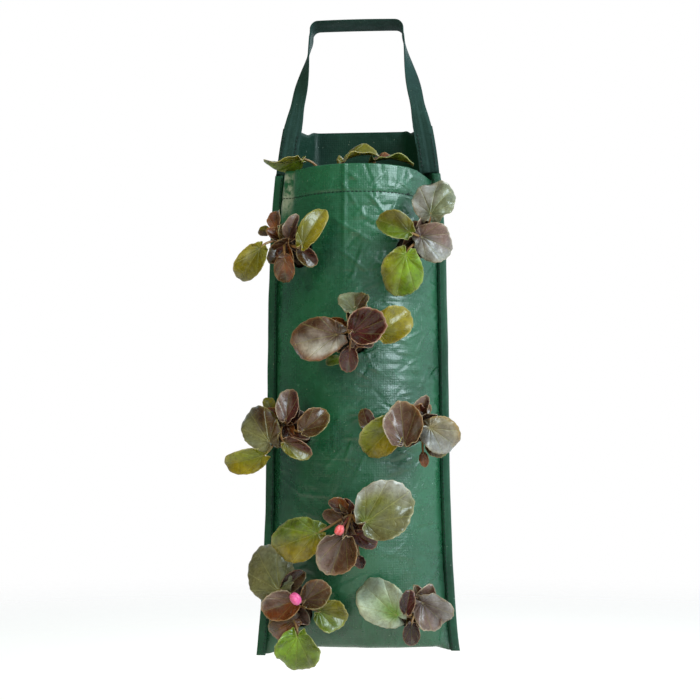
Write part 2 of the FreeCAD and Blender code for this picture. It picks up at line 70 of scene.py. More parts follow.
# The bag's form, as in the solids

LOOP_RISE = 112
SIDE_HEIGHT = 588
BOTTOM = -(LOOP_RISE + SIDE_HEIGHT)
HINGE_Z = -LOOP_RISE
STRAP_WIDTH = 32
HALF_ARC = 115
FLANGE = 10
FRONT_TOP = 530
BACK_TOP = 585
HEM_DEPTH = 30
ARCH_BOTTOM = 51.5
ARCH_MIDDLE = 69
ARCH_TOP = 90
ARCH_SETTLE = 85
MOUTH_POWER = 7
MOUTH_CLOSING = 0.25
BELLY_LIFT = 12.5
BELLY_HEIGHT = 48
BELLY_FOOT = 0.2
BACK_FLAT = 52
BACK_SLANT = 66
BACK_CORNER = 25
MOUTH_CORNER = 8
CORNER_CHANGE = (480, 570)
SOIL_TOP = 505
HOLE_RADIUS = 16
HOLE_OFFSET = 62
HOLE_FIRST_ROW = 52
HOLE_ROW_PITCH = 96
PLANT_TILT = math.radians(20)
PLUG_LENGTH = 45
CROWN_REACH = 20


def smooth(low, high, value):
    """A soft step, from 0 at low to 1 at high."""
    share = np.clip((value - low) / (high - low), 0, 1)
    return share * share * (3 - 2 * share)


def bell(value, middle, width):
    """A hump of height 1."""
    return np.exp(-(((value - middle) / width) ** 2))


def mouth_share(height):
    """Grows from 0 to 1 close to the mouth."""
    return (np.maximum(height, 0) / SIDE_HEIGHT) ** MOUTH_POWER


def arch_angle(height):
    """Half the angle of the front's arch: flatter at the bottom and rounder at the mouth."""
    low = (ARCH_MIDDLE - ARCH_BOTTOM) * np.exp(-height / ARCH_SETTLE)
    rise = (ARCH_TOP - ARCH_MIDDLE) * mouth_share(height)
    return np.radians(ARCH_MIDDLE - low + rise)


def arch_radius(height):
    return HALF_ARC / arch_angle(height)


def half_width(height):
    return arch_radius(height) * np.sin(arch_angle(height))


def belly(height):
    """Share of its full depth that the bag has, rounded off at the bottom."""
    share = BELLY_FOOT + (1 - BELLY_FOOT) * np.clip((height - BELLY_LIFT) / BELLY_HEIGHT, 0, 1)
    return np.sqrt(1 - (1 - share) ** 2)


NOISE_SIZE = 64


def patch_noise(x, y, seed):
    """Smooth noise from -1 to 1, with features about one unit across."""
    table = np.random.default_rng(seed).uniform(-1, 1, (NOISE_SIZE, NOISE_SIZE))
    column, row = np.floor(x).astype(int), np.floor(y).astype(int)
    across, up = smooth(0, 1, x - column), smooth(0, 1, y - row)

    def level(step):
        left = table[column % NOISE_SIZE, (row + step) % NOISE_SIZE]
        right = table[(column + 1) % NOISE_SIZE, (row + step) % NOISE_SIZE]
        return left * (1 - across) + right * across

    return level(0) * (1 - up) + level(1) * up


# Making meshes

def unit(vectors):
    vectors = np.asarray(vectors, float)
    return vectors / np.maximum(np.linalg.norm(vectors, axis=-1, keepdims=True), 1e-9)


def xyz(x, y, z):
    """Points, or other rows of three, from their parts."""
    return np.stack(np.broadcast_arrays(x, y, z), axis=-1)


def cross_axes(way, helper):
    """Two directions square to a way and to each other."""
    first = unit(np.cross(way, helper))
    return first, np.cross(way, first)


def circle(count):
    return np.linspace(0, 2 * math.pi, count, endpoint=False)


def path_lengths(path):
    """Distance walked along a path, at each of its points."""
    return np.concatenate([[0], np.cumsum(np.linalg.norm(np.diff(path, axis=0), axis=1))])


def bezier(start, start_way, stop_way, stop, steps):
    share = np.linspace(0, 1, steps)[:, None]
    rest = 1 - share
    ends = rest**3 * start + share**3 * stop
    return ends + 3 * rest**2 * share * start_way + 3 * rest * share**2 * stop_way


def grid_faces(rows, columns, closed=False):
    faces = []
    for row in range(rows - 1):
        for column in range(columns if closed else columns - 1):
            right = (column + 1) % columns
            low, high = row * columns, (row + 1) * columns
            faces.append((low + column, low + right, high + right, high + column))
    return faces


class Shape:
    """Gathers points, faces and point attributes for one piece."""

    def __init__(self):
        self.points, self.faces, self.attributes = [], [], {}
        self.count = 0

    def add(self, points, faces, **attributes):
        points = np.asarray(points, float).reshape(-1, 3)
        self.faces += [tuple(self.count + index for index in face) for face in faces]
        self.points.append(points)
        for name, values in attributes.items():
            values = np.broadcast_to(np.asarray(values, float).reshape(-1, 3), points.shape)
            self.attributes.setdefault(name, []).append(values)
        self.count += len(points)

    def add_grid(self, rows, closed=False, capped=False, **attributes):
        """Adds rows of points as one skin, closed round on itself and capped at both ends where asked."""
        rows = np.asarray(rows, float)
        count, columns = rows.shape[:2]
        faces = grid_faces(count, columns, closed)
        if capped:
            faces.append(tuple(range(columns - 1, -1, -1)))
            faces.append(tuple(range((count - 1) * columns, count * columns)))
        self.add(rows, faces, **attributes)

    def add_tube(self, path, radii, sides, **attributes):
        """Adds a round tube along a path, with closed ends."""
        path = np.asarray(path, float)
        first, second = cross_axes(unit(np.gradient(path, axis=0)), (0.31, 0.17, 0.94))
        turns = circle(sides)[None, :, None]
        radii = np.broadcast_to(np.asarray(radii, float), (len(path),))[:, None, None]
        rings = path[:, None] + radii * (np.cos(turns) * first[:, None] + np.sin(turns) * second[:, None])
        self.add_grid(rings, closed=True, capped=True, **attributes)

    def piece(self, name, material, body=None, slot=None, stands_for=()):
        mesh = bpy.data.meshes.new(name)
        mesh.from_pydata((np.concatenate(self.points) * MM).tolist(), [], self.faces)
        mesh.polygons.foreach_set("use_smooth", [True] * len(mesh.polygons))
        mesh.materials.append(material)
        for attribute, values in self.attributes.items():
            layer = mesh.attributes.new(attribute, "FLOAT_VECTOR", "POINT")
            layer.data.foreach_set("vector", np.concatenate(values).astype(np.float32).ravel())
        made = bpy.data.objects.new(name, mesh)
        scene.collection.objects.link(made)
        if body:
            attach(made, body)
        if stands_for:
            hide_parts(*stands_for)
        return made


def thicken(piece, thickness, offset=0):
    """Gives a sheet its thickness, on both sides of its points unless offset says otherwise."""
    made = piece.modifiers.new("thickness", "SOLIDIFY")
    made.thickness = thickness * MM
    made.offset = offset
    return made


# Materials

def linear(code):
    """A colour written as six hex digits, as linear light."""
    parts = np.array([int(code[place:place + 2], 16) for place in (0, 2, 4)]) / 255
    return np.where(parts <= 0.04045, parts / 12.92, ((parts + 0.055) / 1.055) ** 2.4)


def rgba(code, strength=1.0):
    return (*(linear(code) * strength), 1)


class Nodes:
    """Short calls for the shader nodes used here."""

    def __init__(self, tree):
        self.tree = tree

    def feed(self, node, values):
        """Sets or links inputs of a node, by name or number."""
        for place, value in values.items():
            if isinstance(value, bpy.types.NodeSocket):
                self.tree.links.new(value, node.inputs[place])
            else:
                node.inputs[place].default_value = value

    def add(self, kind, values, **settings):
        """Adds a node and gives back its outputs."""
        made = self.tree.nodes.new(f"ShaderNode{kind}")
        for name, value in settings.items():
            setattr(made, name, value)
        self.feed(made, values)
        return made.outputs

    def math(self, operation, *values):
        return self.add("Math", dict(enumerate(values)), operation=operation)[0]

    def times(self, first, second):
        return self.math("MULTIPLY", first, second)

    def off_middle(self, value):
        """How far a share lies from one half."""
        return self.math("ABSOLUTE", self.math("SUBTRACT", value, 0.5))

    def span(self, value, low, high, to_low=0.0, to_high=1.0):
        """A soft step between two values."""
        values = dict(enumerate((value, low, high, to_low, to_high)))
        return self.add("MapRange", values, interpolation_type="SMOOTHSTEP")[0]

    def mix(self, share, first, second, blend="MIX"):
        return self.add("Mix", {0: share, 6: first, 7: second}, data_type="RGBA", blend_type=blend)[2]

    def attribute(self, name, output="Vector"):
        return self.add("Attribute", {}, attribute_name=name)[output]

    def place(self, output="Object"):
        return self.add("TexCoord", {})[output]

    def noise(self, scale, detail=3.0, roughness=0.55):
        values = {"Vector": self.place(), "Scale": scale, "Detail": detail, "Roughness": roughness}
        return self.add("TexNoise", values)["Fac"]

    def split(self, vector):
        return self.add("SeparateXYZ", {0: vector})

    def bump(self, height, distance, strength, below=None):
        values = {"Strength": strength, "Distance": distance, "Height": height}
        if below is not None:
            values["Normal"] = below
        return self.add("Bump", values)[0]


class Look(Nodes):
    """A material made of nodes."""

    def __init__(self, name, roughness=0.5, specular=0.5, coat=0.0):
        self.material = bpy.data.materials.new(name)
        self.material.use_nodes = True
        super().__init__(self.material.node_tree)
        self.wear({"Roughness": roughness, "Specular IOR Level": specular, "Coat Weight": coat})

    def wear(self, values):
        """Sets or links inputs of the surface."""
        self.feed(self.tree.nodes["Principled BSDF"], values)
        return self.material


# On the flat cloth, in metres: where the shade beside a side seam sets in, and the edges of the painted
# highlight near the front's top left corner
SEAM_SHADE = (0.104, 0.114)
HIGHLIGHT_ACROSS = ((-0.113, -0.106), (-0.09, -0.072))
HIGHLIGHT_ALONG = ((0.035, 0.04), (0.07, 0.09))


def tapes(look, along, pitch):
    """Height of woven flat tapes across one direction, from 0 in the joint to 1 on the tape."""
    step = look.math("FRACT", look.math("DIVIDE", along, pitch))
    edge = look.math("MINIMUM", step, look.math("SUBTRACT", 1.0, step))
    return look.span(edge, 0.0, 0.22)


def between(look, value, edges):
    """1 between two soft edges and 0 outside them."""
    rise, fall = edges
    return look.times(look.span(value, *rise), look.span(value, *fall, 1.0, 0.0))


def woven_look(name, tones, pitch, roughness, specular, coat=0.0, seam_shade=0.0, painted_highlight=0.0):
    """Laminated woven tape cloth: even squares of tape under a glossy, crinkled film."""
    dark, light, pale = (rgba(code) for code in tones)
    look = Look(name, specular=specular, coat=coat)
    across, along, _ = look.split(look.attribute("cloth"))
    weave = look.times(tapes(look, across, pitch), tapes(look, along, pitch))
    joints = look.times(look.math("SUBTRACT", 1.0, weave), 0.22)
    specks = look.span(look.noise(420.0, 1.0), 0.76, 0.8, 0.0, 0.5)
    crumbs = look.span(look.noise(330.0, 1.0), 0.78, 0.82, 0.0, 0.75)
    color = look.mix(look.span(look.noise(9.0, 2.0), 0.3, 0.7), dark, light)
    color = look.mix(look.span(look.noise(120.0, 4.0, 0.65), 0.45, 0.75, 0.0, 0.35), color, pale)
    color = look.mix(joints, color, dark)
    color = look.mix(specks, color, rgba("b9c8b6"))
    color = look.mix(crumbs, color, rgba("1c1912"))
    if seam_shade:
        beside = look.span(look.math("ABSOLUTE", across), *SEAM_SHADE, 0.0, seam_shade)
        color = look.mix(beside, color, rgba("10281f"))
    # painted highlight: a pale patch that stands in for a gloss highlight on a fold near the front's top
    # left corner
    if painted_highlight:
        corner = look.times(between(look, across, HIGHLIGHT_ACROSS), between(look, along, HIGHLIGHT_ALONG))
        highlight = look.times(corner, look.span(look.noise(75.0, 4.0, 0.7), 0.36, 0.56, 0.0, painted_highlight))
        color = look.mix(highlight, color, rgba("aab4a2"))
    rough = look.span(look.noise(60.0, 3.0), 0.3, 0.7, roughness - 0.07, roughness + 0.12)
    normal = look.bump(look.noise(170.0, 5.0, 0.7), 0.0011, 0.5)
    normal = look.bump(weave, 0.00016, 0.55, normal)
    return look.wear({"Base Color": color, "Roughness": rough, "Normal": normal})


def thread_look(name, code):
    look = Look(name, roughness=0.45)
    twist = look.noise(1600.0, 2.0)
    color = look.mix(look.span(twist, 0.35, 0.65), rgba(code), rgba(code, 0.45))
    return look.wear({"Base Color": color, "Normal": look.bump(twist, 0.0002, 0.6)})


def soil_look(name):
    look = Look(name, roughness=0.95, specular=0.2)
    clods = look.noise(160.0, 6.0, 0.7)
    color = look.mix(look.span(clods, 0.35, 0.65), rgba("17100b"), rgba("4a3826"))
    color = look.mix(look.span(look.noise(430.0, 2.0), 0.68, 0.74), color, rgba("7b6248"))
    return look.wear({"Base Color": color, "Normal": look.bump(clods, 0.003, 0.9)})


# The gaps between a leaf's main veins, as a share of half a turn, and its side veins, of the way to the rim
VEIN_GAP = 0.155
RUNG_GAP = 0.17


def leaf_look(name):
    """A waxy leaf: its tint from the mesh, with veins that fan from the stalk and a pale rim."""
    look = Look(name, specular=0.5, coat=0.08)
    tint = look.attribute("tint", "Color")
    turn, out, luck = look.split(look.attribute("leaf"))
    off = look.off_middle(look.math("FRACT", look.math("ADD", look.math("DIVIDE", turn, VEIN_GAP), 0.5)))
    main = look.span(look.times(look.times(off, VEIN_GAP * math.pi), out), 0.006, 0.022, 1.0, 0.0)
    climb = look.math("DIVIDE", look.math("SUBTRACT", out, look.times(off, 0.32)), RUNG_GAP)
    rung = look.off_middle(look.math("FRACT", look.math("ADD", climb, luck)))
    side = look.times(look.span(rung, 0.02, 0.09, 1.0, 0.0), look.span(out, 0.3, 0.5, 0.0, 0.55))
    veins = look.math("MAXIMUM", main, side)
    mottle = look.noise(260.0, 4.0, 0.6)
    blotch = look.mix(1.0, tint, rgba("8f7d62"), "MULTIPLY")
    color = look.mix(look.span(mottle, 0.35, 0.7, 0.0, 0.4), tint, blotch)
    color = look.mix(look.times(veins, 0.42), color, look.mix(0.45, tint, rgba("b5b06a")))
    rim = look.span(out, 0.972, 0.992)
    color = look.mix(look.times(rim, 0.55), color, look.mix(0.5, tint, rgba("d9c49a")))
    rough = look.span(look.noise(90.0, 3.0), 0.3, 0.7, 0.15, 0.32)
    height = look.math("SUBTRACT", look.times(mottle, 0.4), look.times(veins, 0.7))
    return look.wear({"Base Color": color, "Roughness": rough, "Normal": look.bump(height, 0.0008, 0.8)})


def tinted_look(name, roughness, grain, spread, code, bumps):
    """A plain surface with its tint from the mesh, flecked with one more colour."""
    look = Look(name, roughness=roughness)
    flecks = look.noise(grain, 3.0)
    color = look.mix(look.span(flecks, *spread), look.attribute("tint", "Color"), rgba(code))
    return look.wear({"Base Color": color, "Normal": look.bump(flecks, bumps, 0.5)})


# the cloth's look, with painted shade beside its seams and a painted highlight near the front's top left
# corner
cloth_look = woven_look(
    "laminated_cloth", ("124a2c", "1d603a", "2e7254"), pitch=0.0026, roughness=0.28, specular=0.75,
    coat=0.25, seam_shade=0.45, painted_highlight=0.85)
# the inside of the cloth: darker tones of the same cloth, painted shade for the faces inside the bag
shaded_inside_look = woven_look(
    "cloth_inside_painted_shade", ("0a2418", "123426", "1c4436"), pitch=0.0026, roughness=0.42, specular=0.3)
strap_look = woven_look(
    "strap_cloth", ("1c302b", "2a433d", "3a5852"), pitch=0.0022, roughness=0.6, specular=0.1)
tape_look = woven_look(
    "binding_tape", ("123a26", "1e5238", "2e664c"), pitch=0.0014, roughness=0.42, specular=0.4)
seam_thread_look = thread_look("seam_thread", "0a1c16")
hem_thread_look = thread_look("hem_thread", "10281c")
potting_look = soil_look("potting_mix")
blade_look = leaf_look("waxy_leaf")
stem_look = tinted_look("fleshy_stalk", 0.35, 240.0, (0.35, 0.7, 0.0, 0.6), "6b2f22", 0.0004)
petal_look = tinted_look("bud_petal", 0.38, 500.0, (0.3, 0.7, 0.0, 0.35), "f3b0bf", 0.0003)


# Body cloth: one sheet, folded at the bottom, with its holes

COLUMN_STEP = 1.5
ROW_STEP = 1.5
BACK_STEP = 4
CLOTH_GAP = 0.5
CLOTH_THICKNESS = 0.5
FLOOR_ROWS = 12
BACK_RISE = 6
SOFT_ROUNDS = 10
SOFT_FRONT_ROWS = 14
SOFT_BACK_ROWS = 10
# The lift of the bottom right corner, where it sets in across the bag, and the height in which it fades
CORNER_LIFT = 7
CORNER_SPAN = (88, 108)
CORNER_FADE = 14
HEM_AIM = 40
# How far below the front's edge each row of the turned hem lies, and how far inside it
HEM_ROWS = ((-0.6, 0.5), (-0.4, 1.3), (2, 1.7), (8, 1.7), (15, 1.7), (22, 1.7), (HEM_DEPTH + 3, 1.6))
# Half the side of the square in the grid that becomes a hole, and how far round a hole the grid is bent
HOLE_BLOCK = 14.5
HOLE_REACH = 27
# The row of each plant's hole, from the bottom, and its side
PLANT_HOLES = {1: (4, -1), 2: (4, 1), 3: (3, 0), 4: (2, -1), 5: (2, 1), 6: (1, 0), 7: (0, -1), 8: (0, 1)}


def hole_middle(plant):
    row, side = PLANT_HOLES[plant]
    return side * HOLE_OFFSET, HOLE_FIRST_ROW + HOLE_ROW_PITCH * row


def inside_seam(across):
    """Flat distance from the nearer side seam."""
    return HALF_ARC - np.abs(across)


def front_wall(across, height):
    """Points on the front of the bag, from the flat distance across and the height."""
    angle, radius = arch_angle(height), arch_radius(height)
    bearing = np.clip(across / radius, -angle, angle)
    x = radius * np.sin(bearing)
    y = -belly(height) * radius * (np.cos(bearing) - np.cos(angle)) - CLOTH_GAP
    return xyz(x + np.sign(across) * np.maximum(-inside_seam(across), 0), y, BOTTOM + height)


def back_wall(across, height):
    """Points on the back: slanted sides, rounded corners and a flat middle."""
    half = half_width(height)
    corner = BACK_CORNER - (BACK_CORNER - MOUTH_CORNER) * smooth(*CORNER_CHANGE, height)
    closing = 1 - MOUTH_CLOSING * mouth_share(height)
    depth = belly(height) * closing * np.sqrt(BACK_SLANT**2 - (half - BACK_FLAT) ** 2)
    turn = np.arctan2(depth, half - BACK_FLAT)
    reach = corner * np.tan(turn / 2)
    slant = np.hypot(depth, half - BACK_FLAT) - reach
    bend = corner * turn
    total = slant + bend + BACK_FLAT - reach
    walked = (1 - np.clip(np.abs(across) / HALF_ARC, 0, 1)) * total
    on_slant = np.minimum(walked, slant)
    angle = np.clip((walked - slant) / corner, 0, turn)
    on_flat = np.maximum(walked - slant - bend, 0)
    x = half - on_slant * np.cos(turn) - corner * (np.sin(turn) - np.sin(turn - angle)) - on_flat
    y = on_slant * np.sin(turn) + corner * (np.cos(turn - angle) - np.cos(turn)) + CLOTH_GAP
    return xyz(np.sign(across) * (x + np.maximum(-inside_seam(across), 0)), y, BOTTOM + height)


def floor_rows(wall, across, shares):
    """Rows of the bag's bottom, from the fold out to the foot of a wall."""
    foot = wall(across, np.full_like(across, BELLY_LIFT))
    spread = np.where(across < 0, 26, 15)
    fold = (BELLY_LIFT - 1) * (1 - bell(np.maximum(inside_seam(across), 0), 0, spread))
    rows = []
    for share in shares:
        height = fold + (BELLY_LIFT - fold) * share
        level = wall(across, BELLY_LIFT * share * np.ones_like(across))
        rows.append(xyz(level[:, 0], foot[:, 1] * share, BOTTOM + height))
    return rows


def front_sag(across, height):
    """How far the front's top edge hangs below its plain height."""
    edge = 3 + 5 * smooth(55, HALF_ARC, across) - 4.5 * smooth(60, HALF_ARC, -across)
    return edge * smooth(420, FRONT_TOP, height)


# Straight fold lines of a crumpled film, strewn over a region (left, right, low, high). Their lean and its
# spread are in degrees, and length, width and rise are ranges.
Creases = namedtuple("Creases", "seed count region lean spread length width rise")
FRONT_CREASES = (
    Creases(11, 120, (-5, 112, 425, 528), 35, 55, (6, 24), (1.8, 4.5), (-1.2, 1.4)),
    Creases(12, 190, (-5, 112, 200, 425), 8, 30, (6, 26), (1.8, 4), (-1.1, 1.3)),
    Creases(13, 120, (-112, 112, 15, 215), 15, 45, (8, 30), (1.8, 4), (-0.6, 0.7)),
    Creases(14, 60, (-112, 0, 235, 525), 60, 40, (8, 30), (1.8, 4), (-0.4, 0.6)),
    Creases(15, 14, (-8, 24, 8, 30), 70, 45, (5, 14), (2, 4), (-2.2, 2.6)),
    Creases(16, 26, (-60, 105, 14, 40), 20, 50, (5, 16), (2, 4), (-1.6, 1.8)),
)
BACK_CREASES = Creases(31, 200, (-112, 112, 15, 580), 20, 50, (8, 36), (3, 6), (-1.5, 1.7))


def crumpled(across, along, group):
    """Height of one group of creases."""
    rng = np.random.default_rng(group.seed)
    height = np.zeros_like(across)
    left, right, low, high = group.region
    for _ in range(group.count):
        dx, dy = across - rng.uniform(left, right), along - rng.uniform(low, high)
        angle = math.radians(group.lean + rng.normal(0, group.spread))
        length, width, rise = rng.uniform(*group.length), rng.uniform(*group.width), rng.uniform(*group.rise)
        forward = dx * math.cos(angle) + dy * math.sin(angle)
        sideways = -dx * math.sin(angle) + dy * math.cos(angle)
        ridge = np.clip(1 - np.abs(sideways) / width, 0, 1)
        height += rise * ridge * np.clip(1 - (forward / length) ** 2, 0, 1)
    return height


def seam_pucker(across, along, pitch, seed):
    """Small waves beside the side seams, drawn up by the stitches."""
    wave = np.sin(along / pitch + 3 * patch_noise(along / 30, 0.0, seed))
    return wave * np.exp(-np.maximum(inside_seam(across), 0) / 9)


def level_folds(across, along):
    """Fine level folds, strongest on the right at middle height."""
    strong = smooth(-25, 45, across) * smooth(250, 300, along) * (1 - smooth(440, 480, along))
    return 0.5 * patch_noise(across / 34, along / 5.5, 5) * (0.35 + 0.9 * strong)


def top_folds(across, along):
    """Single folds below the hem: upright and slanted near the middle, and one beside the left seam."""
    upright = 1.5 * bell(across, -9 - 0.01 * (FRONT_TOP - along), 2.4) * smooth(380, 520, along)
    slanted = 1.3 * bell(along - (468 - 0.62 * (across + 19)), 0, 2.6) * bell(across, 0, 22)
    ridge = 3.2 * bell(across, -97, 6) * smooth(455, 490, along)
    hollow = 2.2 * bell(across, -84, 5) * smooth(460, 500, along)
    return upright + slanted + ridge - hollow


def front_wrinkles(across, along):
    """How far the front stands out of its plain form."""
    height = 1.3 * patch_noise(across / 46, along / 60, 3) + 0.6 * patch_noise(across / 19, along / 24, 4)
    height += level_folds(across, along) + top_folds(across, along)
    for group in FRONT_CREASES:
        height += crumpled(across, along, group)
    uneven = 0.55 + 0.45 * patch_noise(along / 55, 3.3, 7)
    height += 0.7 * uneven * seam_pucker(across, along, 2.3, 6)
    height += 0.3 * smooth(430, 480, along) - 1.1 * bell(along, FRONT_TOP - HEM_DEPTH, 1.8)
    return height * smooth(0, 7, inside_seam(across))


def back_wrinkles(across, along):
    """How far the back stands out of its plain form: less towards its top edge."""
    lumps = 1.1 * patch_noise(across / 50, along / 65, 23) + 0.5 * patch_noise(across / 20, along / 26, 24)
    calm = 1 - smooth(520, 575, along)
    height = lumps * calm + crumpled(across, along, BACK_CREASES) * (0.35 + 0.65 * calm)
    height += 0.5 * seam_pucker(across, along, 2.6, 26)
    return height * smooth(0, 7, inside_seam(across))


def even_block(offsets, line):
    """Stretches offsets a little, so that a line of the grid falls on both edges of a hole's block."""
    above = line[line > HOLE_BLOCK - 0.1].min()
    below = -line[line < 0.1 - HOLE_BLOCK].max()
    return offsets * np.where(offsets > 0, HOLE_BLOCK / above, HOLE_BLOCK / below)


def round_holes(across, height):
    """Bends the grid round each hole, and marks the points inside the holes."""
    inside = np.zeros(across.shape, bool)
    tall = 1 / math.cos(PLANT_TILT)
    for plant in PLANT_HOLES:
        middle_x, middle_h = hole_middle(plant)
        dx, dy = across - middle_x, height - middle_h
        dx = even_block(dx, dx[0])
        dy = even_block(dy, dy[:, 0])
        ring = np.maximum(np.abs(dx), np.abs(dy))
        inside |= ring < HOLE_BLOCK - 0.1
        near = (ring < HOLE_REACH) & (ring >= HOLE_BLOCK - 0.1)
        share = np.clip((HOLE_REACH - ring) / (HOLE_REACH - HOLE_BLOCK), 0, 1)
        pull = HOLE_RADIUS * ring / HOLE_BLOCK / np.maximum(np.hypot(dx, dy), 1e-6)
        across = np.where(near, middle_x + dx * (1 - share + pull * share), across)
        height = np.where(near, middle_h + dy * (1 - share + pull * tall * share), height)
    return across, height, inside


def hole_lips(across, height):
    """The cloth stands out a little round each hole."""
    lift = np.zeros_like(across)
    for plant in PLANT_HOLES:
        middle_x, middle_h = hole_middle(plant)
        gap = np.hypot(across - middle_x, (height - middle_h) * math.cos(PLANT_TILT)) - HOLE_RADIUS
        turn = np.arctan2(height - middle_h, across - middle_x)
        lift += (1.2 + 0.8 * np.sin(5 * turn + plant)) * np.exp(-np.maximum(gap, 0) / 4)
    return lift


def stand_out(rows, heights, outward):
    """Moves a grid of points along its normals."""
    up, right = np.gradient(rows, axis=0), np.gradient(rows, axis=1)
    normals = unit(np.cross(right, up)) * outward
    return rows + normals * heights[..., None]


def front_sheet(columns):
    """Rows of the front from the bottom up, and which of their points lie inside a hole."""
    across, height = np.meshgrid(columns, np.arange(BELLY_LIFT, FRONT_TOP + 0.1, ROW_STEP))
    across, height, inside = round_holes(across, height)
    front = front_wall(across, height)
    front = stand_out(front, front_wrinkles(across, height) + hole_lips(across, height), 1)
    front[..., 2] -= front_sag(across, height)
    return front, inside


def turned_hem(front, columns):
    """Rows of the hem, which turns in over the front's top edge and lies behind the front."""
    inward = unit(xyz(-front[-1, :, 0], np.maximum(HEM_AIM - front[-1, :, 1], 1), 0))
    inward[np.abs(columns) > HALF_ARC] = 0
    rows = []
    for drop, gap in HEM_ROWS:
        beside = front[-1 - max(0, round(drop / ROW_STEP))]
        rows.append(beside + inward * gap - np.array([0, 0, min(drop, 0)]))
    return rows


def back_sheet(columns):
    """Rows of the back from the bottom up. Its top edge rises between the legs of the strap."""
    across, height = np.meshgrid(columns, np.arange(BELLY_LIFT, BACK_TOP + 0.1, BACK_STEP))
    back = stand_out(back_wall(across, height), back_wrinkles(across, height), -1)
    back[..., 2] += BACK_RISE * smooth(36, 56, inside_seam(across)) * smooth(480, BACK_TOP, height)
    return back


def soften(rows, soft):
    """Rounds off the turns of a sheet within a range of its rows."""
    for _ in range(SOFT_ROUNDS):
        moved = rows.copy()
        moved[1:-1] = (rows[:-2] + 2 * rows[1:-1] + rows[2:]) / 4
        rows[soft] = moved[soft]


def body_cloth():
    """The sheet from the hem down the front, across the floor and up the back."""
    inner = np.arange(-HALF_ARC + 1, HALF_ARC - 0.9, COLUMN_STEP)
    flange = HALF_ARC + np.linspace(0, FLANGE, 5)
    columns = np.concatenate([-flange[::-1], inner, flange])
    front, inside = front_sheet(columns)
    hem = turned_hem(front, columns)
    shares = np.linspace(0, 1, FLOOR_ROWS + 1)
    front_floor = floor_rows(front_wall, columns, shares[:-1])
    back_floor = floor_rows(back_wall, columns, shares[1:-1])
    rows = np.concatenate([hem[::-1], front[::-1], front_floor[::-1], back_floor, back_sheet(columns)])
    front_end = len(hem) + len(front)
    floor_end = front_end + len(front_floor) + len(back_floor)
    soften(rows, slice(front_end - SOFT_FRONT_ROWS, floor_end + SOFT_BACK_ROWS))
    low_right = np.interp(columns, CORNER_SPAN, (0, CORNER_LIFT))
    rows[..., 2] += low_right * np.exp(-(rows[..., 2] - BOTTOM) / CORNER_FADE)

    walked = path_lengths(rows[:, len(columns) // 2])
    flat = xyz(columns * MM, walked[:, None] * MM, 0)
    hidden = np.zeros(rows.shape[:2], bool)
    hidden[len(hem):front_end] = inside[::-1]
    hidden = hidden.ravel()
    faces = [face[::-1] for face in grid_faces(*rows.shape[:2]) if not hidden[list(face)].any()]
    used, corners = np.unique(np.array(faces), return_inverse=True)
    shape = Shape()
    shape.add(rows.reshape(-1, 3)[used], corners.reshape(-1, 4), cloth=flat.reshape(-1, 3)[used])
    piece = shape.piece("body_cloth", cloth_look, "bag", "cloth", ("front_panel", "back_panel"))
    # the inner faces take the darker inside look, which is painted shade
    piece.data.materials.append(shaded_inside_look)
    thicken(piece, CLOTH_THICKNESS).material_offset = 1
    return piece


cloth = body_cloth()


# Bindings and stitches

SIDES = ((-1, "left"), (1, "right"))
TAPE_STEP = 2.5
TAPE_THICKNESS = 0.45
TAPE_WEAVE_STEP = 0.002
# The front half of a tape's section: inwards from the edge of the flange, and along Y
TAPE_FRONT = ((9, -1.35), (6, -1.5), (3, -1.45), (0.8, -1.35), (-0.3, -0.9), (-0.7, 0))
# Pitch, length and thread radius of stitches
SEAM_STITCH = (4.2, 2.4, 0.55)
HEM_STITCH = (4.4, 3.1, 0.55)
STRAP_STITCH = (4.4, 3.2, 0.42)
SEAM_INSET = 6.8
SEAM_OUT = 1.75
HEM_HALF = 112
HEM_OUT = 0.45


def flange_points(side, height, inset, y):
    """Points on a side flange, from its outer edge."""
    lift = CORNER_LIFT * np.exp(-height / CORNER_FADE) if side > 0 else 0
    return xyz(side * (half_width(height) + FLANGE - inset), y, BOTTOM + height + lift)


def binding(side, word):
    """A tape folded round the side flange, a little puckered by its stitches."""
    heights = np.arange(0, FRONT_TOP + 0.1, TAPE_STEP)[:, None]
    inset, y = np.array(TAPE_FRONT + TAPE_FRONT[-2::-1]).T
    y[len(TAPE_FRONT):] *= -1
    wave = 0.3 * np.sin(heights / 2.1) + 0.35 * patch_noise(heights / 17, 0.5, 41 + side)
    edge = 0.5 * patch_noise(heights / 26, 2.5, 43 + side)
    bulge = np.sign(y) * np.maximum(wave, 0) * inset / TAPE_FRONT[0][0]
    rows = flange_points(side, heights, inset + edge, y + bulge)
    shape = Shape()
    shape.add_grid(rows, cloth=xyz(np.arange(len(inset)) * TAPE_WEAVE_STEP, heights * MM, 0))
    piece = shape.piece(f"{word}_edge_tape", tape_look, "bag", "binding", (f"{word}_binding",))
    thicken(piece, TAPE_THICKNESS)
    return piece


def stitches(name, look, stands_for, rows, stitch):
    """Rows of separate stitches, from each row's path and the way out of its cloth, where they dive in."""
    pitch, length, radius = stitch
    dive = radius * np.array([-0.5, 0.2, 0.45, 0.2, -0.5])
    shape = Shape()
    for path, outward in rows:
        walked = path_lengths(path)
        lines = path, np.broadcast_to(np.asarray(outward, float), path.shape)
        for start in np.arange(0.5 * pitch, walked[-1] - pitch, pitch):
            places = start + length * np.array([0, 0.18, 0.5, 0.82, 1])
            middle, out = (xyz(*(np.interp(places, walked, part) for part in line.T)) for line in lines)
            shape.add_tube(middle + out * dive[:, None], radius * np.array([0.6, 0.95, 1, 0.95, 0.6]), 7)
    return shape.piece(name, look, "bag", "thread", (stands_for,))


def seam_stitches(side, word):
    heights = np.arange(1, FRONT_TOP, 4)
    rows = [(flange_points(side, heights, SEAM_INSET, out * SEAM_OUT), (0, out, 0)) for out in (-1, 1)]
    return stitches(f"{word}_seam_stitches", seam_thread_look, f"{word}_seam_thread", rows, SEAM_STITCH)


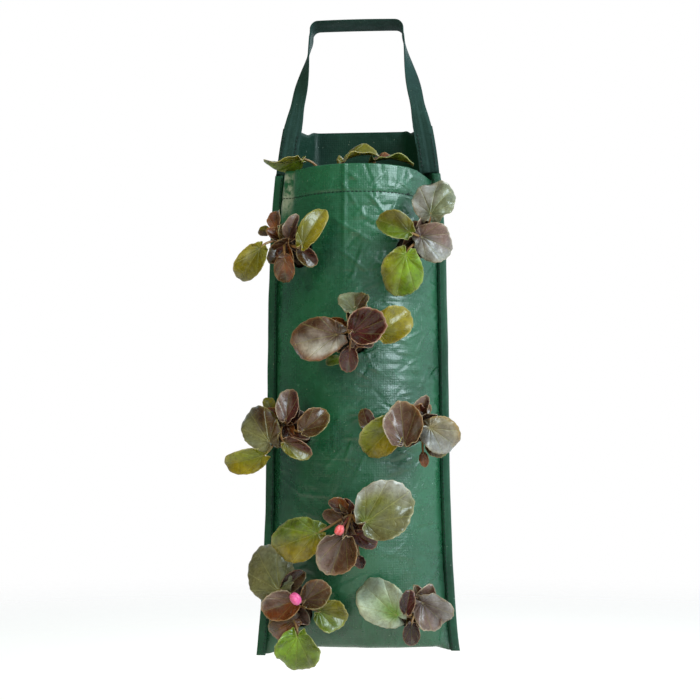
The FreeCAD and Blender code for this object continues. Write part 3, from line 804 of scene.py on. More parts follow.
def hem_stitches():
    across = np.arange(-HEM_HALF, HEM_HALF + 0.1, 2)
    height = FRONT_TOP - HEM_DEPTH + 0 * across
    bearing = across / arch_radius(height)
    out = xyz(np.sin(bearing), -np.cos(bearing), 0)
    path = front_wall(across, height) + out * (front_wrinkles(across, height) + HEM_OUT)[:, None]
    path[:, 2] -= front_sag(across, height)
    return stitches("hem_stitches", hem_thread_look, "front_hem_thread", [(path, out)], HEM_STITCH)


bindings, threads = [], []
for side, word in SIDES:
    bindings.append(binding(side, word))
    threads.append(seam_stitches(side, word))
threads.append(hem_stitches())


# Strap: one folded strip, sewn flat at both ends and turned a quarter at the top

STRAP_INSET = 11.5
STRAP_Y = -1.2
SEWN_Y = -1.4
SEWN_ROWS = 14
LEG_ROWS = 26
SEWN_WIDTH = 22
FOOT_WIDTH = 20.5
WAIST_NARROWING = 4
LEG_TOP = (52, -12)
BEND_MIDDLE = (43, -8)
BEND_RADIUS = 9
TOP_PLACES = (36, 24, 12, 0)
TOP_TILT = math.radians(5)
TILT_START = -60
STRAP_HALF_THICKNESS = 1.0
STRAP_COLUMNS = 21
STRAP_BLEND = 5
STRAP_STITCH_INSETS = (3.5, 18.5)
# Where the strap's stitches lie along Y, on its front and behind the cloth, and their way out
STRAP_STITCH_FACES = ((-3.0, -1), (1.3, 1))
StrapRow = namedtuple("StrapRow", "middle across width pleat")


def strap_half():
    """Rows of the strap from its right end to the middle of its top."""
    rows = []
    for height in np.linspace(FRONT_TOP + 1, SIDE_HEIGHT - 3, SEWN_ROWS):
        share = (height - FRONT_TOP) / (SIDE_HEIGHT - FRONT_TOP)
        middle = (half_width(height) + FLANGE - STRAP_INSET, SEWN_Y, BOTTOM + height)
        rows.append(StrapRow(middle, (1, 0, 0), SEWN_WIDTH + (FOOT_WIDTH - SEWN_WIDTH) * share, 1))
    foot = np.array([half_width(SIDE_HEIGHT) + FLANGE - STRAP_INSET, HINGE_Z])
    for share in np.linspace(0, 1, LEG_ROWS):
        x, z = foot + (LEG_TOP - foot) * share
        turn = math.pi / 2 * smooth(0, 1, share)
        widening = (STRAP_WIDTH - FOOT_WIDTH) * smooth(0.35, 1.0, share)
        width = FOOT_WIDTH - WAIST_NARROWING * bell(share, 0.22, 0.16) + widening
        across = (math.cos(turn), math.sin(turn), 0)
        rows.append(StrapRow((x, STRAP_Y, z), across, width, (1 - share) ** 2))
    bend = np.radians(np.linspace(12, 90, 8))
    top = list(BEND_MIDDLE + BEND_RADIUS * np.stack([np.cos(bend), np.sin(bend)], axis=-1))
    top += [(x, 1 + 0.5 * math.cos(x / 30)) for x in TOP_PLACES]
    return rows + [StrapRow((x, STRAP_Y, z), (0, 1, 0), STRAP_WIDTH, 0) for x, z in top]


def strap_line():
    """The whole strap: its right half and the mirror image, with square axes along it."""
    right = strap_half()
    path, across, widths, pleats = (np.array(part, float) for part in zip(*right, *right[-2::-1]))
    path[len(right):, 0] *= -1
    across[len(right):, 0] *= -1
    ways = unit(np.gradient(path, axis=0))
    across = unit(across - ways * np.sum(across * ways, axis=1, keepdims=True))
    tilt = TOP_TILT * smooth(TILT_START, 0, path[:, 2])
    level = np.abs(across[:, 1:2])
    tilted = xyz(0, np.cos(tilt), -np.sin(tilt)) * np.sign(across[:, 1:2])
    top = (np.abs(path[:, 0]) < LEG_TOP[0] + 1) & (path[:, 2] > TILT_START)
    across[top] = unit(across * (1 - level) + tilted * level)[top]
    return path, across, unit(np.cross(ways, across)), widths, pleats


def strap():
    """The strip's skin, pleated where it is sewn on and slightly bowed elsewhere."""
    path, across, outward, widths, pleats = strap_line()
    spread = np.linspace(-1, 1, STRAP_COLUMNS)
    around = np.concatenate([spread, spread[::-1] + 2]) * STRAP_WIDTH / 2
    thick = STRAP_HALF_THICKNESS * np.sqrt(np.maximum(1 - np.abs(spread) ** 8, 0.02))
    rows, flat = [], []
    lines = zip(path, across, outward, widths, pleats, path_lengths(path))
    for middle, way, out, width, pleat, walked in lines:
        wave = pleat * (0.55 * np.sin(spread * 7.5 + 0.6) + 0.3 * np.sin(spread * 15 + walked / 40))
        wave += 0.16 * np.sin(spread * 5 + walked / 23)
        bow = 0.48 * (1 - spread**2) * (1 - pleat)
        base = middle + np.outer(spread * width / 2, way)
        front = base + np.outer(wave + bow + thick, out)
        behind = base + np.outer(0.5 * wave + bow - thick, out)
        rows.append(np.concatenate([front, behind[::-1]]))
        flat.append(xyz(around * MM, walked * MM, 0))
    shape = Shape()
    shape.add_grid(rows, closed=True, capped=True, cloth=flat)
    piece = shape.piece(
        "strap", strap_look, None, "strap", ("hanging_loop", "left_strap_end", "right_strap_end"))
    start, end = (0, 0, (HINGE_Z + STRAP_BLEND) * MM), (0, 0, (HINGE_Z - STRAP_BLEND) * MM)
    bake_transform(piece, "strap_loop", "bag", start=start, end=end)
    return piece


def strap_stitches(side, word):
    """Two rows on each face at one end of the strap."""
    heights = np.linspace(FRONT_TOP + 5, SIDE_HEIGHT - 9, 12)
    rows = [
        (flange_points(side, heights, inset, y), (0, out, 0))
        for inset in STRAP_STITCH_INSETS for y, out in STRAP_STITCH_FACES]
    return stitches(f"{word}_strap_stitches", seam_thread_look, f"{word}_strap_thread", rows, STRAP_STITCH)


strap_piece = strap()
for side, word in SIDES:
    threads.append(strap_stitches(side, word))


# Soil and its crumbs

SOIL_VOXEL = 4
SOIL_INSET = 2.2
SOIL_LEVEL = BOTTOM + SOIL_TOP
CRUMB_COUNT = 260
CRUMB_TURNS = 7
CRUMB_LEVELS = np.array([-0.95, -0.5, 0.05, 0.6, 0.95])


def soil():
    """The filling, from the solid, with a lumpy surface just inside the cloth."""
    piece = bpy.data.objects.new("soil", frame["nodes"]["soil_fill"].data.copy())
    scene.collection.objects.link(piece)
    remesh = piece.modifiers.new("even", "REMESH")
    remesh.mode = "VOXEL"
    remesh.voxel_size = SOIL_VOXEL * MM
    graph = bpy.context.evaluated_depsgraph_get()
    mesh = bpy.data.meshes.new_from_object(piece.evaluated_get(graph))
    piece.modifiers.clear()
    piece.data = mesh
    mesh.materials.clear()
    mesh.materials.append(potting_look)

    def read(kind):
        values = np.zeros(len(mesh.vertices) * 3, np.float32)
        mesh.vertices.foreach_get(kind, values)
        return values.reshape(-1, 3)

    points, normals = read("co") / MM, read("normal")
    x, y, z = points.T
    lumps = patch_noise(x / 9 + y / 7, z / 8 + y / 11, 51)
    crumbs = patch_noise(x / 5, y / 5 + z / 6, 52)
    top = smooth(SOIL_LEVEL - 8, SOIL_LEVEL - 2, z)
    inward = SOIL_INSET + 1.2 * lumps * (1 - top)
    points = points - normals * inward[:, None]
    points[:, 2] += top * (2 + 2.2 * lumps + 1.4 * crumbs)
    mesh.vertices.foreach_set("co", (points * MM).astype(np.float32).ravel())
    mesh.polygons.foreach_set("use_smooth", [True] * len(mesh.polygons))
    mesh.update()
    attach(piece, "bag")
    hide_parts("soil_fill")


def add_crumb(shape, middle, radius, rng):
    """Adds a small uneven clod."""
    angle = circle(CRUMB_TURNS)
    ring = np.sqrt(1 - CRUMB_LEVELS**2)
    points = xyz(np.outer(ring, np.cos(angle)), np.outer(ring, np.sin(angle)), CRUMB_LEVELS[:, None])
    points = points * rng.uniform(0.7, 1.25, (len(ring), len(angle), 1)) * rng.uniform(0.6, 1.2, 3)
    shape.add_grid(middle + radius * points, closed=True, capped=True)


def top_crumbs():
    """Loose crumbs on the soil in the mouth."""
    rng = np.random.default_rng(61)
    shape = Shape()
    while len(shape.points) < CRUMB_COUNT:
        x, y = rng.uniform(-80, 80), rng.uniform(-55, 50)
        if abs(x) > 74 - 0.55 * max(y, 0) or (x / 80) ** 2 + (y / 62) ** 2 > 0.9:
            continue
        middle = np.array([x, y, SOIL_LEVEL + rng.uniform(0, 1.8)])
        add_crumb(shape, middle, rng.uniform(0.9, 3.0), rng)
    shape.piece("soil_crumbs", potting_look, "bag", "soil")


soil()
top_crumbs()


# Plants

# Across and forward, on the soil in the mouth
MOUTH_PLANTS = {9: (-38, 14), 10: (8, 14)}
HOLE_OUTSIDE = 0.8
TINTS = {
    # near the stalk, blade, rim, and how far in the rim colour reaches
    "olive": ("4a4606", "6e680c", "8e8428", 0.1),
    "gold": ("6a6408", "8a7a0e", "a08c24", 0.1),
    "yellow_green": ("6a7a10", "86881a", "b4ae70", 0.12),
    "lime": ("8fb424", "6f8f14", "98ac3c", 0.12),
    "leaf_green": ("6c8420", "5a6a14", "929c4c", 0.12),
    "grey_green": ("5a6232", "787a5c", "9a987c", 0.15),
    # the blade colour of the next tint is partly the leaf's own grey, partly painted sheen
    "grey": ("5a544c", "98938e", "a89e8c", 0.15),
    # painted sheen: the grey-white blade colour of the next tint, over a bronze leaf
    "bronze_sheen": ("4e3022", "c6beb6", "84502a", 0.35),
    "bronze": ("5e3a26", "553824", "8c5e34", 0.12),
    "maroon": ("5a201a", "451a14", "96604e", 0.08),
    "rust": ("7a4418", "6c340e", "965c20", 0.1),
    "grey_olive": ("747040", "6e6a42", "8c865c", 0.1),
    "brown": ("3c220f", "4c3010", "7c6c34", 0.1),
    "mauve_brown": ("42221c", "785c52", "ae9884", 0.1),
    # painted sheen: the pale blade colour of the next tint, over a grey-green leaf
    "pale": ("6c9420", "b4bea8", "bcc2a6", 0.12),
    "dark": ("260d0c", "32120e", "66382c", 0.1),
    "grey_rim": ("5c6a16", "6c6a24", "a8a49c", 0.5),
    "tan": ("8c7c52", "948872", "9c7a40", 0.25),
    # the grey-white blade colour of the next tint is partly a lilac leaf, partly painted sheen
    "lilac": ("3a2224", "8c8484", "947e66", 0.12),
}
# A leaf's middle from the hole, its size, the heading of its tip in the front view, how far its tip
# leans back, its roll, the tints of its two halves, partly painted light and shade of a lit and a shaded
# side, and how cupped, folded and curled it is
Leaf = namedtuple("Leaf", "across up out length width heading lean roll left right cup fold curl")
LEAVES = {
    1: [
        (15, 16, 40, 52, 24, 60, 15, 0, "olive", "gold", 0.1, 0.5, 0.1),
        (-49, -13, 30, 48, 28, 233, 20, 10, "olive", "gold", 0.0, 0.75, 0.25),
        (-24, 30, 20, 28, 16, 92, 30, 20, "rust", "bronze", 0.1, 0.8, 0.1),
        (-37, 20, 20, 14, 12, 170, 10, 0, "brown", "olive", 0.2, 0.3, 0.1),
        (-13, -21, 36, 30, 22, 270, 25, 0, "rust", "bronze", -0.15, 0.7, 0.1),
        (8, -8, 25, 28, 18, 315, 20, 0, "maroon", "brown", 0.3, 0.6, 0.0),
    ],
    2: [
        (28, 47, 30, 48, 46, 80, 20, 10, "grey", "grey_green", -0.1, 0.12, 0.15),
        (27, 4, 32, 44, 40, 340, 20, 0, "mauve_brown", "grey", -0.1, 0.25, 0.1),
        (-10, 18, 44, 44, 28, 155, 15, 0, "leaf_green", "olive", 0.2, 0.4, 0.1),
        (-5, -27, 40, 50, 44, 255, 20, 0, "lime", "yellow_green", -0.15, 0.3, 0.15),
    ],
    3: [
        (-31, -4, 42, 58, 44, 190, 15, 0, "bronze_sheen", "bronze", -0.1, 0.45, 0.25),
        (4, 31, 30, 34, 32, 95, 40, 0, "grey_green", "brown", 0.0, 0.6, 0.1),
        (16, 6, 50, 40, 38, 20, 10, 0, "maroon", "maroon", 0.6, 0.1, -0.1),
        (43, 10, 36, 48, 36, 35, 15, 0, "gold", "gold", 0.1, 0.1, 0.1),
        (-1, -23, 40, 26, 20, 265, 25, 0, "maroon", "maroon", 0.2, 0.4, 0.0),
        (-19, -25, 25, 18, 11, 190, 10, 0, "leaf_green", "leaf_green", 0.0, 0.2, 0.1),
    ],
    4: [
        (-37, -1, 34, 50, 40, 127, 20, 0, "grey_olive", "brown", -0.1, 0.4, 0.2),
        (-52, -31, 30, 50, 27, 193, 10, 15, "gold", "yellow_green", 0.0, 0.6, 0.2),
        (-10, 21, 32, 36, 24, 85, 20, 0, "mauve_brown", "maroon", 0.2, 0.6, 0.0),
        (17, 6, 36, 38, 27, 40, 15, 0, "bronze", "brown", 0.25, 0.4, 0.1),
        (0, -20, 42, 36, 20, 332, 15, 0, "maroon", "olive", 0.2, 0.4, 0.1),
        (-31, 26, 16, 18, 14, 100, 15, 0, "olive", "olive", 0.0, 0.2, 0.1),
    ],
    5: [
        (-5, 0, 46, 48, 40, 95, 15, 0, "mauve_brown", "bronze", 0.5, 0.08, -0.05),
        (-25, -7, 36, 52, 38, 225, 15, 0, "gold", "yellow_green", 0.0, 0.65, 0.2),
        (-43, 7, 32, 28, 17, 110, 15, 0, "brown", "maroon", 0.0, 0.3, 0.1),
        (12, 18, 24, 28, 16, 25, 15, 0, "rust", "brown", 0.0, 0.3, 0.1),
        (34, -7, 36, 46, 38, 325, 20, 0, "tan", "grey", -0.15, 0.45, 0.5),
        (29, -18, 24, 28, 23, 310, 15, 0, "olive", "brown", 0.0, 0.3, 0.1),
        (16, -31, 30, 15, 10, 280, 10, 0, "rust", "rust", 0.0, 0.2, 0.1),
    ],
    6: [
        (33, 13, 46, 64, 58, 35, 15, 0, "grey_rim", "grey_olive", 0.28, 0.03, 0.05),
        (-52, -17, 34, 58, 44, 200, 15, 0, "gold", "leaf_green", -0.1, 0.25, 0.2),
        (-10, -25, 48, 44, 42, 250, 20, 0, "bronze", "mauve_brown", 0.45, 0.25, 0.05),
        (-18, 5, 30, 24, 15, 160, 15, 0, "mauve_brown", "bronze", 0.1, 0.3, 0.1),
        (13, -16, 36, 27, 18, 330, 15, 0, "maroon", "maroon", 0.1, 0.4, 0.1),
        (9, -40, 34, 14, 12, 280, 10, 0, "dark", "maroon", 0.1, 0.3, 0.1),
    ],
    7: [
        (-27, 40, 30, 60, 50, 125, 20, 0, "grey_olive", "grey_green", -0.1, 0.08, 0.15),
        (-4, 33, 34, 30, 18, 40, 15, 0, "dark", "brown", 0.2, 0.5, 0.0),
        (-10, 12, 46, 40, 31, 200, 15, 0, "rust", "mauve_brown", 0.35, 0.35, 0.1),
        (-10, -10, 40, 36, 25, 210, 15, 0, "rust", "brown", -0.1, 0.3, 0.2),
        (20, 21, 44, 32, 29, 30, 15, 0, "bronze", "brown", 0.35, 0.2, 0.0),
        (36, 0, 34, 36, 33, 340, 15, 0, "olive", "leaf_green", 0.2, 0.15, 0.0),
        (3, -33, 44, 44, 46, 265, 20, 0, "leaf_green", "lime", 0.0, 0.3, 0.15),
    ],
    8: [
        (-29, 14, 34, 62, 46, 140, 15, 0, "pale", "pale", -0.1, 0.12, 0.12),
        (-2, 14, 50, 26, 16, 80, 15, 0, "dark", "maroon", 0.2, 0.5, 0.0),
        (22, 5, 34, 44, 38, 315, 20, 0, "lilac", "mauve_brown", 0.0, 0.7, 0.2),
        (2, -15, 47, 24, 18, 270, 15, 0, "dark", "dark", 0.1, 0.45, 0.1),
    ],
    9: [(-39, 38, 11, 44, 30, 185, 0, 70, "leaf_green", "olive", 0.1, 0.25, 0.15)],
    10: [
        (-4, 32, 31, 46, 34, 15, 0, 65, "olive", "olive", 0.1, 0.25, 0.15),
        (29, 29, 21, 46, 32, 0, 0, 75, "rust", "leaf_green", 0.1, 0.25, 0.15),
    ],
}
# The tints of the small leaves at each hole plant's crown: dark, partly the young leaves' own colour and
# partly painted shade in the crowded crown
YOUNG_TINTS = (
    ("dark", "maroon"), ("mauve_brown", "dark"), ("brown", "maroon"), ("dark", "rust"),
    ("maroon", "bronze"), ("dark", "brown"), ("rust", "dark"), ("mauve_brown", "maroon"))
# A bud's middle from the hole, its colour and its scale
BUDS = {6: (-9, -6, 66, "d8433f", 0.95), 7: (3, 19, 64, "d8418a", 1.2)}
BUD_TURNS = 28
BUD_RINGS = 16
BUD_LENGTH = 14
BUD_WIDTH = 6
STEM_TINT, STALK_TINT, BUD_STALK_TINT = "7d5a2e", "93703f", "a0504a"
# pale colour of the painted sheen on the leaves
SHEEN_TINT = "b4b2a8"
BLADE_TURNS = 132
BLADE_RINGS = 11
BLADE_THICKNESS = 0.55
BLADE_ROOT = 0.15
TEETH = 15
NOTCH_START = math.radians(158)
NOTCH = math.radians(174)
PLUG_TURNS = 40
PLUG_CRUMBS = 26


def planting_place(plant):
    """Where a plant's root plug meets the surface, and the way it grows."""
    if plant in MOUTH_PLANTS:
        across, front = MOUTH_PLANTS[plant]
        return np.array([across, -front, SOIL_LEVEL], float), np.array([0, 0, 1.0])
    across, height = hole_middle(plant)
    radius, angle = arch_radius(height), arch_angle(height)
    bearing, outer = across / radius, radius + HOLE_OUTSIDE
    x, y = outer * math.sin(bearing), radius * math.cos(angle) - outer * math.cos(bearing)
    level = math.cos(PLANT_TILT)
    outward = np.array([math.sin(bearing) * level, -math.cos(bearing) * level, math.sin(PLANT_TILT)])
    return np.array([x, y, BOTTOM + height]), outward


def leaf_frame(place, leaf):
    """The foot of a leaf and its axes: along the midrib, across it and out of its face."""
    heading, lean, roll = np.radians([leaf.heading, leaf.lean, leaf.roll])
    level = np.array([math.cos(heading), 0, math.sin(heading)])
    facing = np.array([0, -1.0, 0])
    midrib = level * math.cos(lean) - facing * math.sin(lean)
    face = facing * math.cos(lean) + level * math.sin(lean)
    face = face * math.cos(roll) + np.cross(face, midrib) * math.sin(roll)
    foot = place + np.array([leaf.across, -leaf.out, leaf.up]) - midrib * leaf.length / 2
    return foot, np.array([midrib, np.cross(face, midrib), face])


def blade_reach(leaf, turn, luck):
    """Distance from the end of the stalk to the margin: an uneven, toothed oval with a notch."""
    half_length, half_width = leaf.length / 2, leaf.width / 2
    root = BLADE_ROOT * leaf.length - half_length
    a = (np.cos(turn) / half_length) ** 2 + (np.sin(turn) / half_width) ** 2
    b = np.cos(turn) * root / half_length**2
    c = (root / half_length) ** 2 - 1
    oval = (-b + np.sqrt(b * b - a * c)) / a
    teeth = np.abs(((turn * TEETH / math.pi + luck) % 1) - 0.5) * 2
    lobes = patch_noise(turn * 2.2 + 9 * luck, turn * 0 + luck, 71)
    margin = 1.04 + 0.03 * (teeth - 0.5) + 0.085 * lobes + 0.08 * np.sin(turn) * (luck - 0.5)
    notch = 1 - 0.8 * smooth(NOTCH_START, NOTCH, np.abs(turn))
    tip = 0.98 + 0.05 * bell(turn, 0.5 * (luck - 0.5), 0.2) - 0.02 * bell(np.abs(turn), 0.5, 0.2)
    return oval * margin * notch * tip


def blade_height(leaf, x, y, ring, turn, luck):
    """Height of a blade: arched, cupped, folded along the midrib, curled at its tip, quilted and ruffled."""
    share = np.clip(x / leaf.length, 0, 1.05)
    arch = 0.4 * leaf.length * share * (1 - share) * (1 - 1.4 * np.clip(leaf.cup, 0, 1))
    cup = 1.3 * leaf.cup * leaf.width / 2 * ring**2
    fold = leaf.fold * np.sqrt(y**2 + 2.0) * (0.55 + 0.45 * share)
    curl = 2.2 * leaf.curl * leaf.length * np.clip(share - 0.55, 0, 1) ** 2
    quilt = 0.05 * np.abs(np.sin(turn / VEIN_GAP)) * ring * (1.05 - ring)
    waves = 0.085 * ring**2 * np.sin(4 * turn + 6 * luck) + 0.045 * ring**3 * np.sin(9 * turn + 11 * luck)
    dents = 0.06 * ring * patch_noise(x / 10 + 5 * luck, y / 7 + 3 * luck, 72)
    return arch + cup + fold - curl + leaf.width * (quilt + waves + dents)


def blade_color(leaf, x, y, ring, luck):
    """Colours of a blade: two halves, each from the stalk to the rim, partly painted as a lit and a shaded
    side, with painted sheen in pale patches.
    """
    patch = patch_noise(x / 9 + 7 * luck, y / 9, 73)
    close = np.exp(-((ring / 0.42) ** 2))[..., None]
    halves = []
    for near, body, rim, rim_reach in (TINTS[leaf.left], TINTS[leaf.right]):
        edge = smooth(1 - rim_reach, 1.0, ring)[..., None]
        half = (linear(body) * (1 - close) + linear(near) * close) * (1 + 0.3 * patch[..., None])
        halves.append(half * (1 - edge) + linear(rim) * edge)
    # painted light and shade: the two halves' tints partly stand for the lit and the shaded side of the fold
    left = smooth(-0.3 * leaf.width, 0.3 * leaf.width, y + 0.2 * leaf.width * patch)[..., None]
    color = halves[0] * left + halves[1] * (1 - left)
    # painted sheen: pale patches in the colour that stand in for gloss on the leaves
    sheen = smooth(0.3, 0.85, patch_noise(x / 8 + 4 * luck, y / 6 + 9 * luck, 74)) * ring * (1.3 - ring)
    return color + (linear(SHEEN_TINT) - color) * 0.38 * sheen[..., None]


def add_blade(shape, leaf, luck, foot, axes):
    """Adds a leaf, as rings round the end of its stalk, and gives back that end."""
    turn = np.linspace(-NOTCH, NOTCH, BLADE_TURNS)
    out = np.linspace(0.05, 1, BLADE_RINGS) ** 0.85
    root, reach = BLADE_ROOT * leaf.length, blade_reach(leaf, turn, luck)
    x = root + np.outer(out, reach * np.cos(turn))
    y = np.outer(out, reach * np.sin(turn))
    ring = np.repeat(out[:, None], BLADE_TURNS, axis=1)
    z = blade_height(leaf, x, y, ring, turn, luck)
    color = blade_color(leaf, x, y, ring, luck)

    def with_middle(grid, middle):
        return np.concatenate([grid.reshape(-1, 3), [middle]])

    points = foot + with_middle(xyz(x, y, z), (root, 0, z[0].mean() - 0.2)) @ axes
    marks = with_middle(xyz(turn / math.pi, ring, luck), (0, 0, luck))
    faces = grid_faces(BLADE_RINGS, BLADE_TURNS)
    faces += [(len(points) - 1, column + 1, column) for column in range(BLADE_TURNS - 1)]
    shape.add(points, faces, tint=with_middle(color, color[0].mean(axis=0)), leaf=marks)
    return points[-1]


def plug(plant, place, outward):
    """Root plug: a tapered clod of potting mix with a crumbly face."""
    rng = np.random.default_rng(80 + plant)
    turns = circle(PLUG_TURNS)
    first, second = cross_axes(outward, (0.2, 0.3, 0.93))
    profile = [(-PLUG_LENGTH, 0.5), (-PLUG_LENGTH, 6), (-PLUG_LENGTH + 0.6, 9.4)]
    profile += [(-PLUG_LENGTH + step * 4.3, 9.9 + step * 0.38) for step in range(1, 10)]
    profile += [(-3, 13.4), (-1.2, 12.8), (0.2, 11), (0.8, 8.5), (1.2, 6), (1.6, 3), (1.8, 0.4)]
    rows = []
    for depth, radius in profile:
        rough = radius * (1 - 0.05 * rng.random(PLUG_TURNS))
        lift = rng.uniform(-0.8, 0.8, PLUG_TURNS) if depth > -2 else 0 * turns
        ring = np.outer(rough * np.cos(turns), first) + np.outer(rough * np.sin(turns), second)
        rows.append(place + np.outer(depth + lift, outward) + ring)
    shape = Shape()
    shape.add_grid(rows, closed=True)
    for _ in range(PLUG_CRUMBS):
        angle, far = rng.uniform(0, 2 * math.pi), 11.5 * math.sqrt(rng.random())
        middle = place + outward * rng.uniform(0.4, 1.6)
        middle = middle + far * (math.cos(angle) * first + math.sin(angle) * second)
        add_crumb(shape, middle, rng.uniform(0.8, 2.2), rng)
    name = f"plant_{plant}"
    shape.piece(f"{name}_root_plug", potting_look, name, "root_plug", (f"{name}_plug",))


def bud_petals(middle, way, code, scale):
    """A closed flower bud: two broad petals pressed together."""
    first, second = cross_axes(way, (0.3, 0.9, 0.2))
    turns = circle(BUD_TURNS)
    shape = Shape()
    for lean in (-1, 1):
        rows, colors = [], []
        for share in np.linspace(0.02, 0.98, BUD_RINGS):
            width = BUD_WIDTH * scale * math.sin(math.pi * share) ** 0.6 * (0.75 + 0.35 * share)
            notch = 1.2 * np.abs(np.cos(turns)) ** 8 * smooth(0.75, 1, share)
            ring = middle + way * (BUD_LENGTH * (share - 0.5) + 0.8 * lean * share)
            ring = ring + np.outer(width * np.cos(turns) * (1 - 0.06 * notch), first)
            ring = ring + np.outer(0.65 * width * np.sin(turns) + 1.8 * lean * share, second)
            rows.append(ring)
            colors.append(np.broadcast_to(linear(code) * (0.75 + 0.5 * share), ring.shape))
        shape.add_grid(rows, closed=True, capped=True, tint=colors)
    return shape


def young_leaves(plant, rng):
    """Small folded leaves close to the crown of a plant in a hole."""
    if plant in MOUTH_PLANTS:
        return []
    _, outward = planting_place(plant)
    made = []
    for turn, tints in enumerate(YOUNG_TINTS):
        heading = 360 * (turn + rng.uniform(0, 0.7)) / len(YOUNG_TINTS)
        reach = 9 + 7 * (turn % 2)
        across = outward[0] * CROWN_REACH + reach * math.cos(math.radians(heading))
        up = outward[2] * CROWN_REACH + reach * math.sin(math.radians(heading))
        out = -outward[1] * CROWN_REACH + rng.uniform(3, 14)
        length, width = rng.uniform(20, 30), rng.uniform(15, 22)
        lean, roll = rng.uniform(-30, 5), rng.uniform(-40, 40)
        made.append((across, up, out, length, width, heading, lean, roll, *tints, 0.15, 0.7, 0.1))
    return made


def plant(number):
    """A plant on its own body: root plug, stalks, blades and, on two of them, a bud."""
    name = f"plant_{number}"
    place, outward = planting_place(number)
    plug(number, place, outward)
    crown = place + outward * CROWN_REACH
    blades, stalks = Shape(), Shape()
    path = bezier(place - outward * 4, place + outward * 5, crown - outward * 6, crown + outward * 1.5, 12)
    swell = np.linspace(2.7, 3.6, 12) + 0.35 * np.sin(np.arange(12) * 1.7)
    stalks.add_tube(path, swell, 14, tint=linear(STEM_TINT))
    rng = np.random.default_rng(100 + number)
    for row in LEAVES[number] + young_leaves(number, rng):
        leaf = Leaf(*row)
        foot, axes = leaf_frame(place, leaf)
        midrib, _, face = axes
        joint = add_blade(blades, leaf, rng.random(), foot, axes)
        span = np.linalg.norm(joint - crown)
        below = joint - midrib * 0.3 * span - face * 0.12 * span
        path = bezier(crown - outward * 1.5, crown + outward * 0.3 * span, below, joint + midrib * 1.5, 16)
        stalks.add_tube(path, np.linspace(1.75, 1.15, 16), 9, tint=linear(STALK_TINT))
    if number in BUDS:
        across, up, out, code, scale = BUDS[number]
        middle = place + np.array([across, -out, up])
        way = unit(middle - crown)
        bud = bud_petals(middle, way, code, scale)
        bud.piece(f"{name}_bud", petal_look, name, "bud", (f"{name}_flower_bud",))
        path = bezier(crown, crown + outward * 8, middle - way * 16, middle - way * 5, 12)
        stalks.add_tube(path, 1.2, 9, tint=linear(BUD_STALK_TINT))
    stalks.piece(f"{name}_stalks", stem_look, name, "stem", (f"{name}_stem",))
    piece = blades.piece(f"{name}_blades", blade_look, name, "leaf", (f"{name}_leaves",))
    thicken(piece, BLADE_THICKNESS, offset=-1)


for number in LEAVES:
    plant(number)


# Floor, light and camera, with places and sizes in metres except for the floor's

FLOOR_LEVEL = -860
FLOOR_RADII = (0, 300, 700, 1200, 2000, 3200)
FLOOR_TURNS = 64
WHITE = (1, 1, 1, 1)
# Directions from which the room grows brighter: from, to, and its share at both ends
ROOM_RIGHT = (-0.55, 0.6, 0.16, 1.0)
ROOM_BEHIND = (0.55, 0.95, 0.1, 0.8)
ROOM_LIGHT = 0.6
ROOM_COLOR = (0.72, 0.91, 1.0, 1)
LAMP_TARGET = (0, 0, -0.35)
CAMERA_TARGET = (0, 0, -0.349)
CAMERA_AZIMUTH = math.radians(4)
CAMERA_ELEVATION = math.radians(-5.7)
CAMERA_DISTANCE = 1.45
CAMERA_LENS = 67.3
CAMERA_SENSOR = 36
AIM_LEFT = 0.0083
AIM_DOWN = 0.0177


def floor():
    """A wide pale floor below the hanging bag, which fades into the background."""
    turns, radii = circle(FLOOR_TURNS), np.array(FLOOR_RADII)[:, None]
    rows = xyz(radii * np.cos(turns), radii * np.sin(turns), FLOOR_LEVEL)
    look = Look("pale_floor", roughness=0.9, specular=0.1)
    x, y, _ = look.split(look.place())
    far = look.math("SQRT", look.math("ADD", look.times(x, x), look.times(y, y)))
    seen = look.add("LightPath", {})["Is Camera Ray"]
    look.wear({
        "Base Color": look.mix(look.noise(30.0, 3.0), rgba("fdf3ea"), rgba("fff6ee")),
        "Alpha": look.span(far, 0.9, 3.0, 1.0, 0.0),
        "Emission Color": WHITE,
        "Emission Strength": look.times(seen, 0.5)})
    shape = Shape()
    shape.add_grid(rows, closed=True)
    shape.piece("floor", look.material)


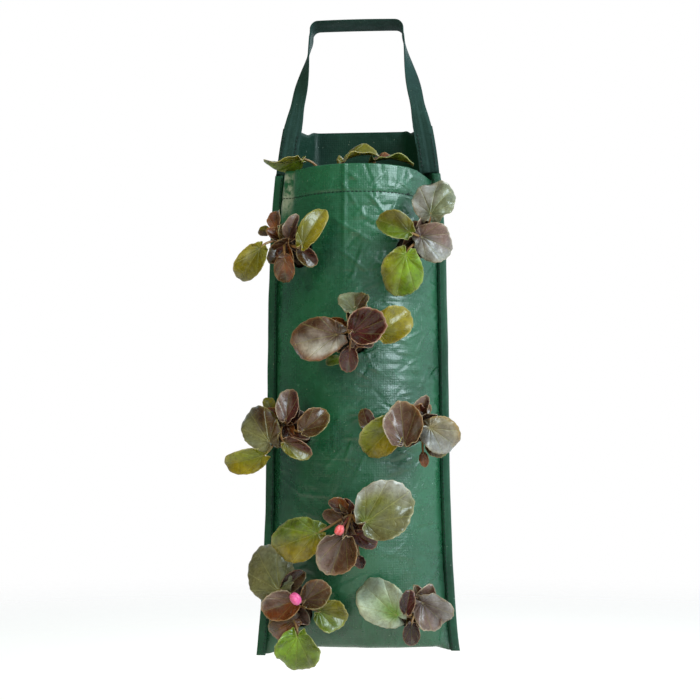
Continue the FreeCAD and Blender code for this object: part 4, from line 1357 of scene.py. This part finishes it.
def world():
    """White where the camera looks, and a soft room that is brighter behind and on the right."""
    made = bpy.data.worlds.new("studio")
    made.use_nodes = True
    scene.world = made
    nodes = Nodes(made.node_tree)
    ray = nodes.add("LightPath", {})
    x, y, _ = nodes.split(nodes.place("Generated"))
    room = nodes.math("MAXIMUM", nodes.span(x, *ROOM_RIGHT), nodes.span(y, *ROOM_BEHIND))
    mirrored = nodes.math("MAXIMUM", ray["Is Glossy Ray"], ray["Is Transmission Ray"])
    strength = nodes.math("MAXIMUM", nodes.times(room, ROOM_LIGHT), nodes.times(mirrored, room))
    strength = nodes.math("MAXIMUM", strength, ray["Is Camera Ray"])
    color = nodes.mix(ray["Is Camera Ray"], ROOM_COLOR, WHITE)
    nodes.feed(nodes.tree.nodes["Background"], {"Strength": strength, "Color": color})


def add_to_scene(name, data, place, target):
    """Puts a lamp or camera in its place and turns it to its target."""
    made = bpy.data.objects.new(name, data)
    scene.collection.objects.link(made)
    made.location = place
    made.rotation_euler = (Vector(target) - Vector(place)).to_track_quat("-Z", "Y").to_euler()
    return made


def lamp(name, place, size, power, color, mirrored=True):
    data = bpy.data.lights.new(name, "AREA")
    data.shape = "RECTANGLE"
    data.size, data.size_y = size
    data.energy = power
    data.color = color
    add_to_scene(name, data, place, LAMP_TARGET).visible_glossy = mirrored


def camera():
    """The photograph's view: a little to the right and from slightly below the middle."""
    level = math.cos(CAMERA_ELEVATION)
    right = Vector((math.cos(CAMERA_AZIMUTH), math.sin(CAMERA_AZIMUTH), 0))
    back = Vector((right.y * level, -right.x * level, math.sin(CAMERA_ELEVATION)))
    data = bpy.data.cameras.new("camera")
    data.lens = CAMERA_LENS
    data.sensor_width = CAMERA_SENSOR
    target = Vector(CAMERA_TARGET)
    aim = target - right * AIM_LEFT - back.cross(right) * AIM_DOWN
    scene.camera = add_to_scene("camera", data, target + back * CAMERA_DISTANCE, aim)


floor()
world()
camera()
lamp("key", (1.35, -1.0, 0.45), (0.9, 1.3), 33, (0.77, 0.93, 1.0))
lamp("fill", (-0.9, -1.6, 0.4), (0.6, 0.9), 15, (1.0, 0.92, 0.6), mirrored=False)
lamp("rim", (0.3, 1.4, 0.7), (1.0, 1.0), 6, (1, 1, 1))

scene.view_settings.view_transform = "Standard"
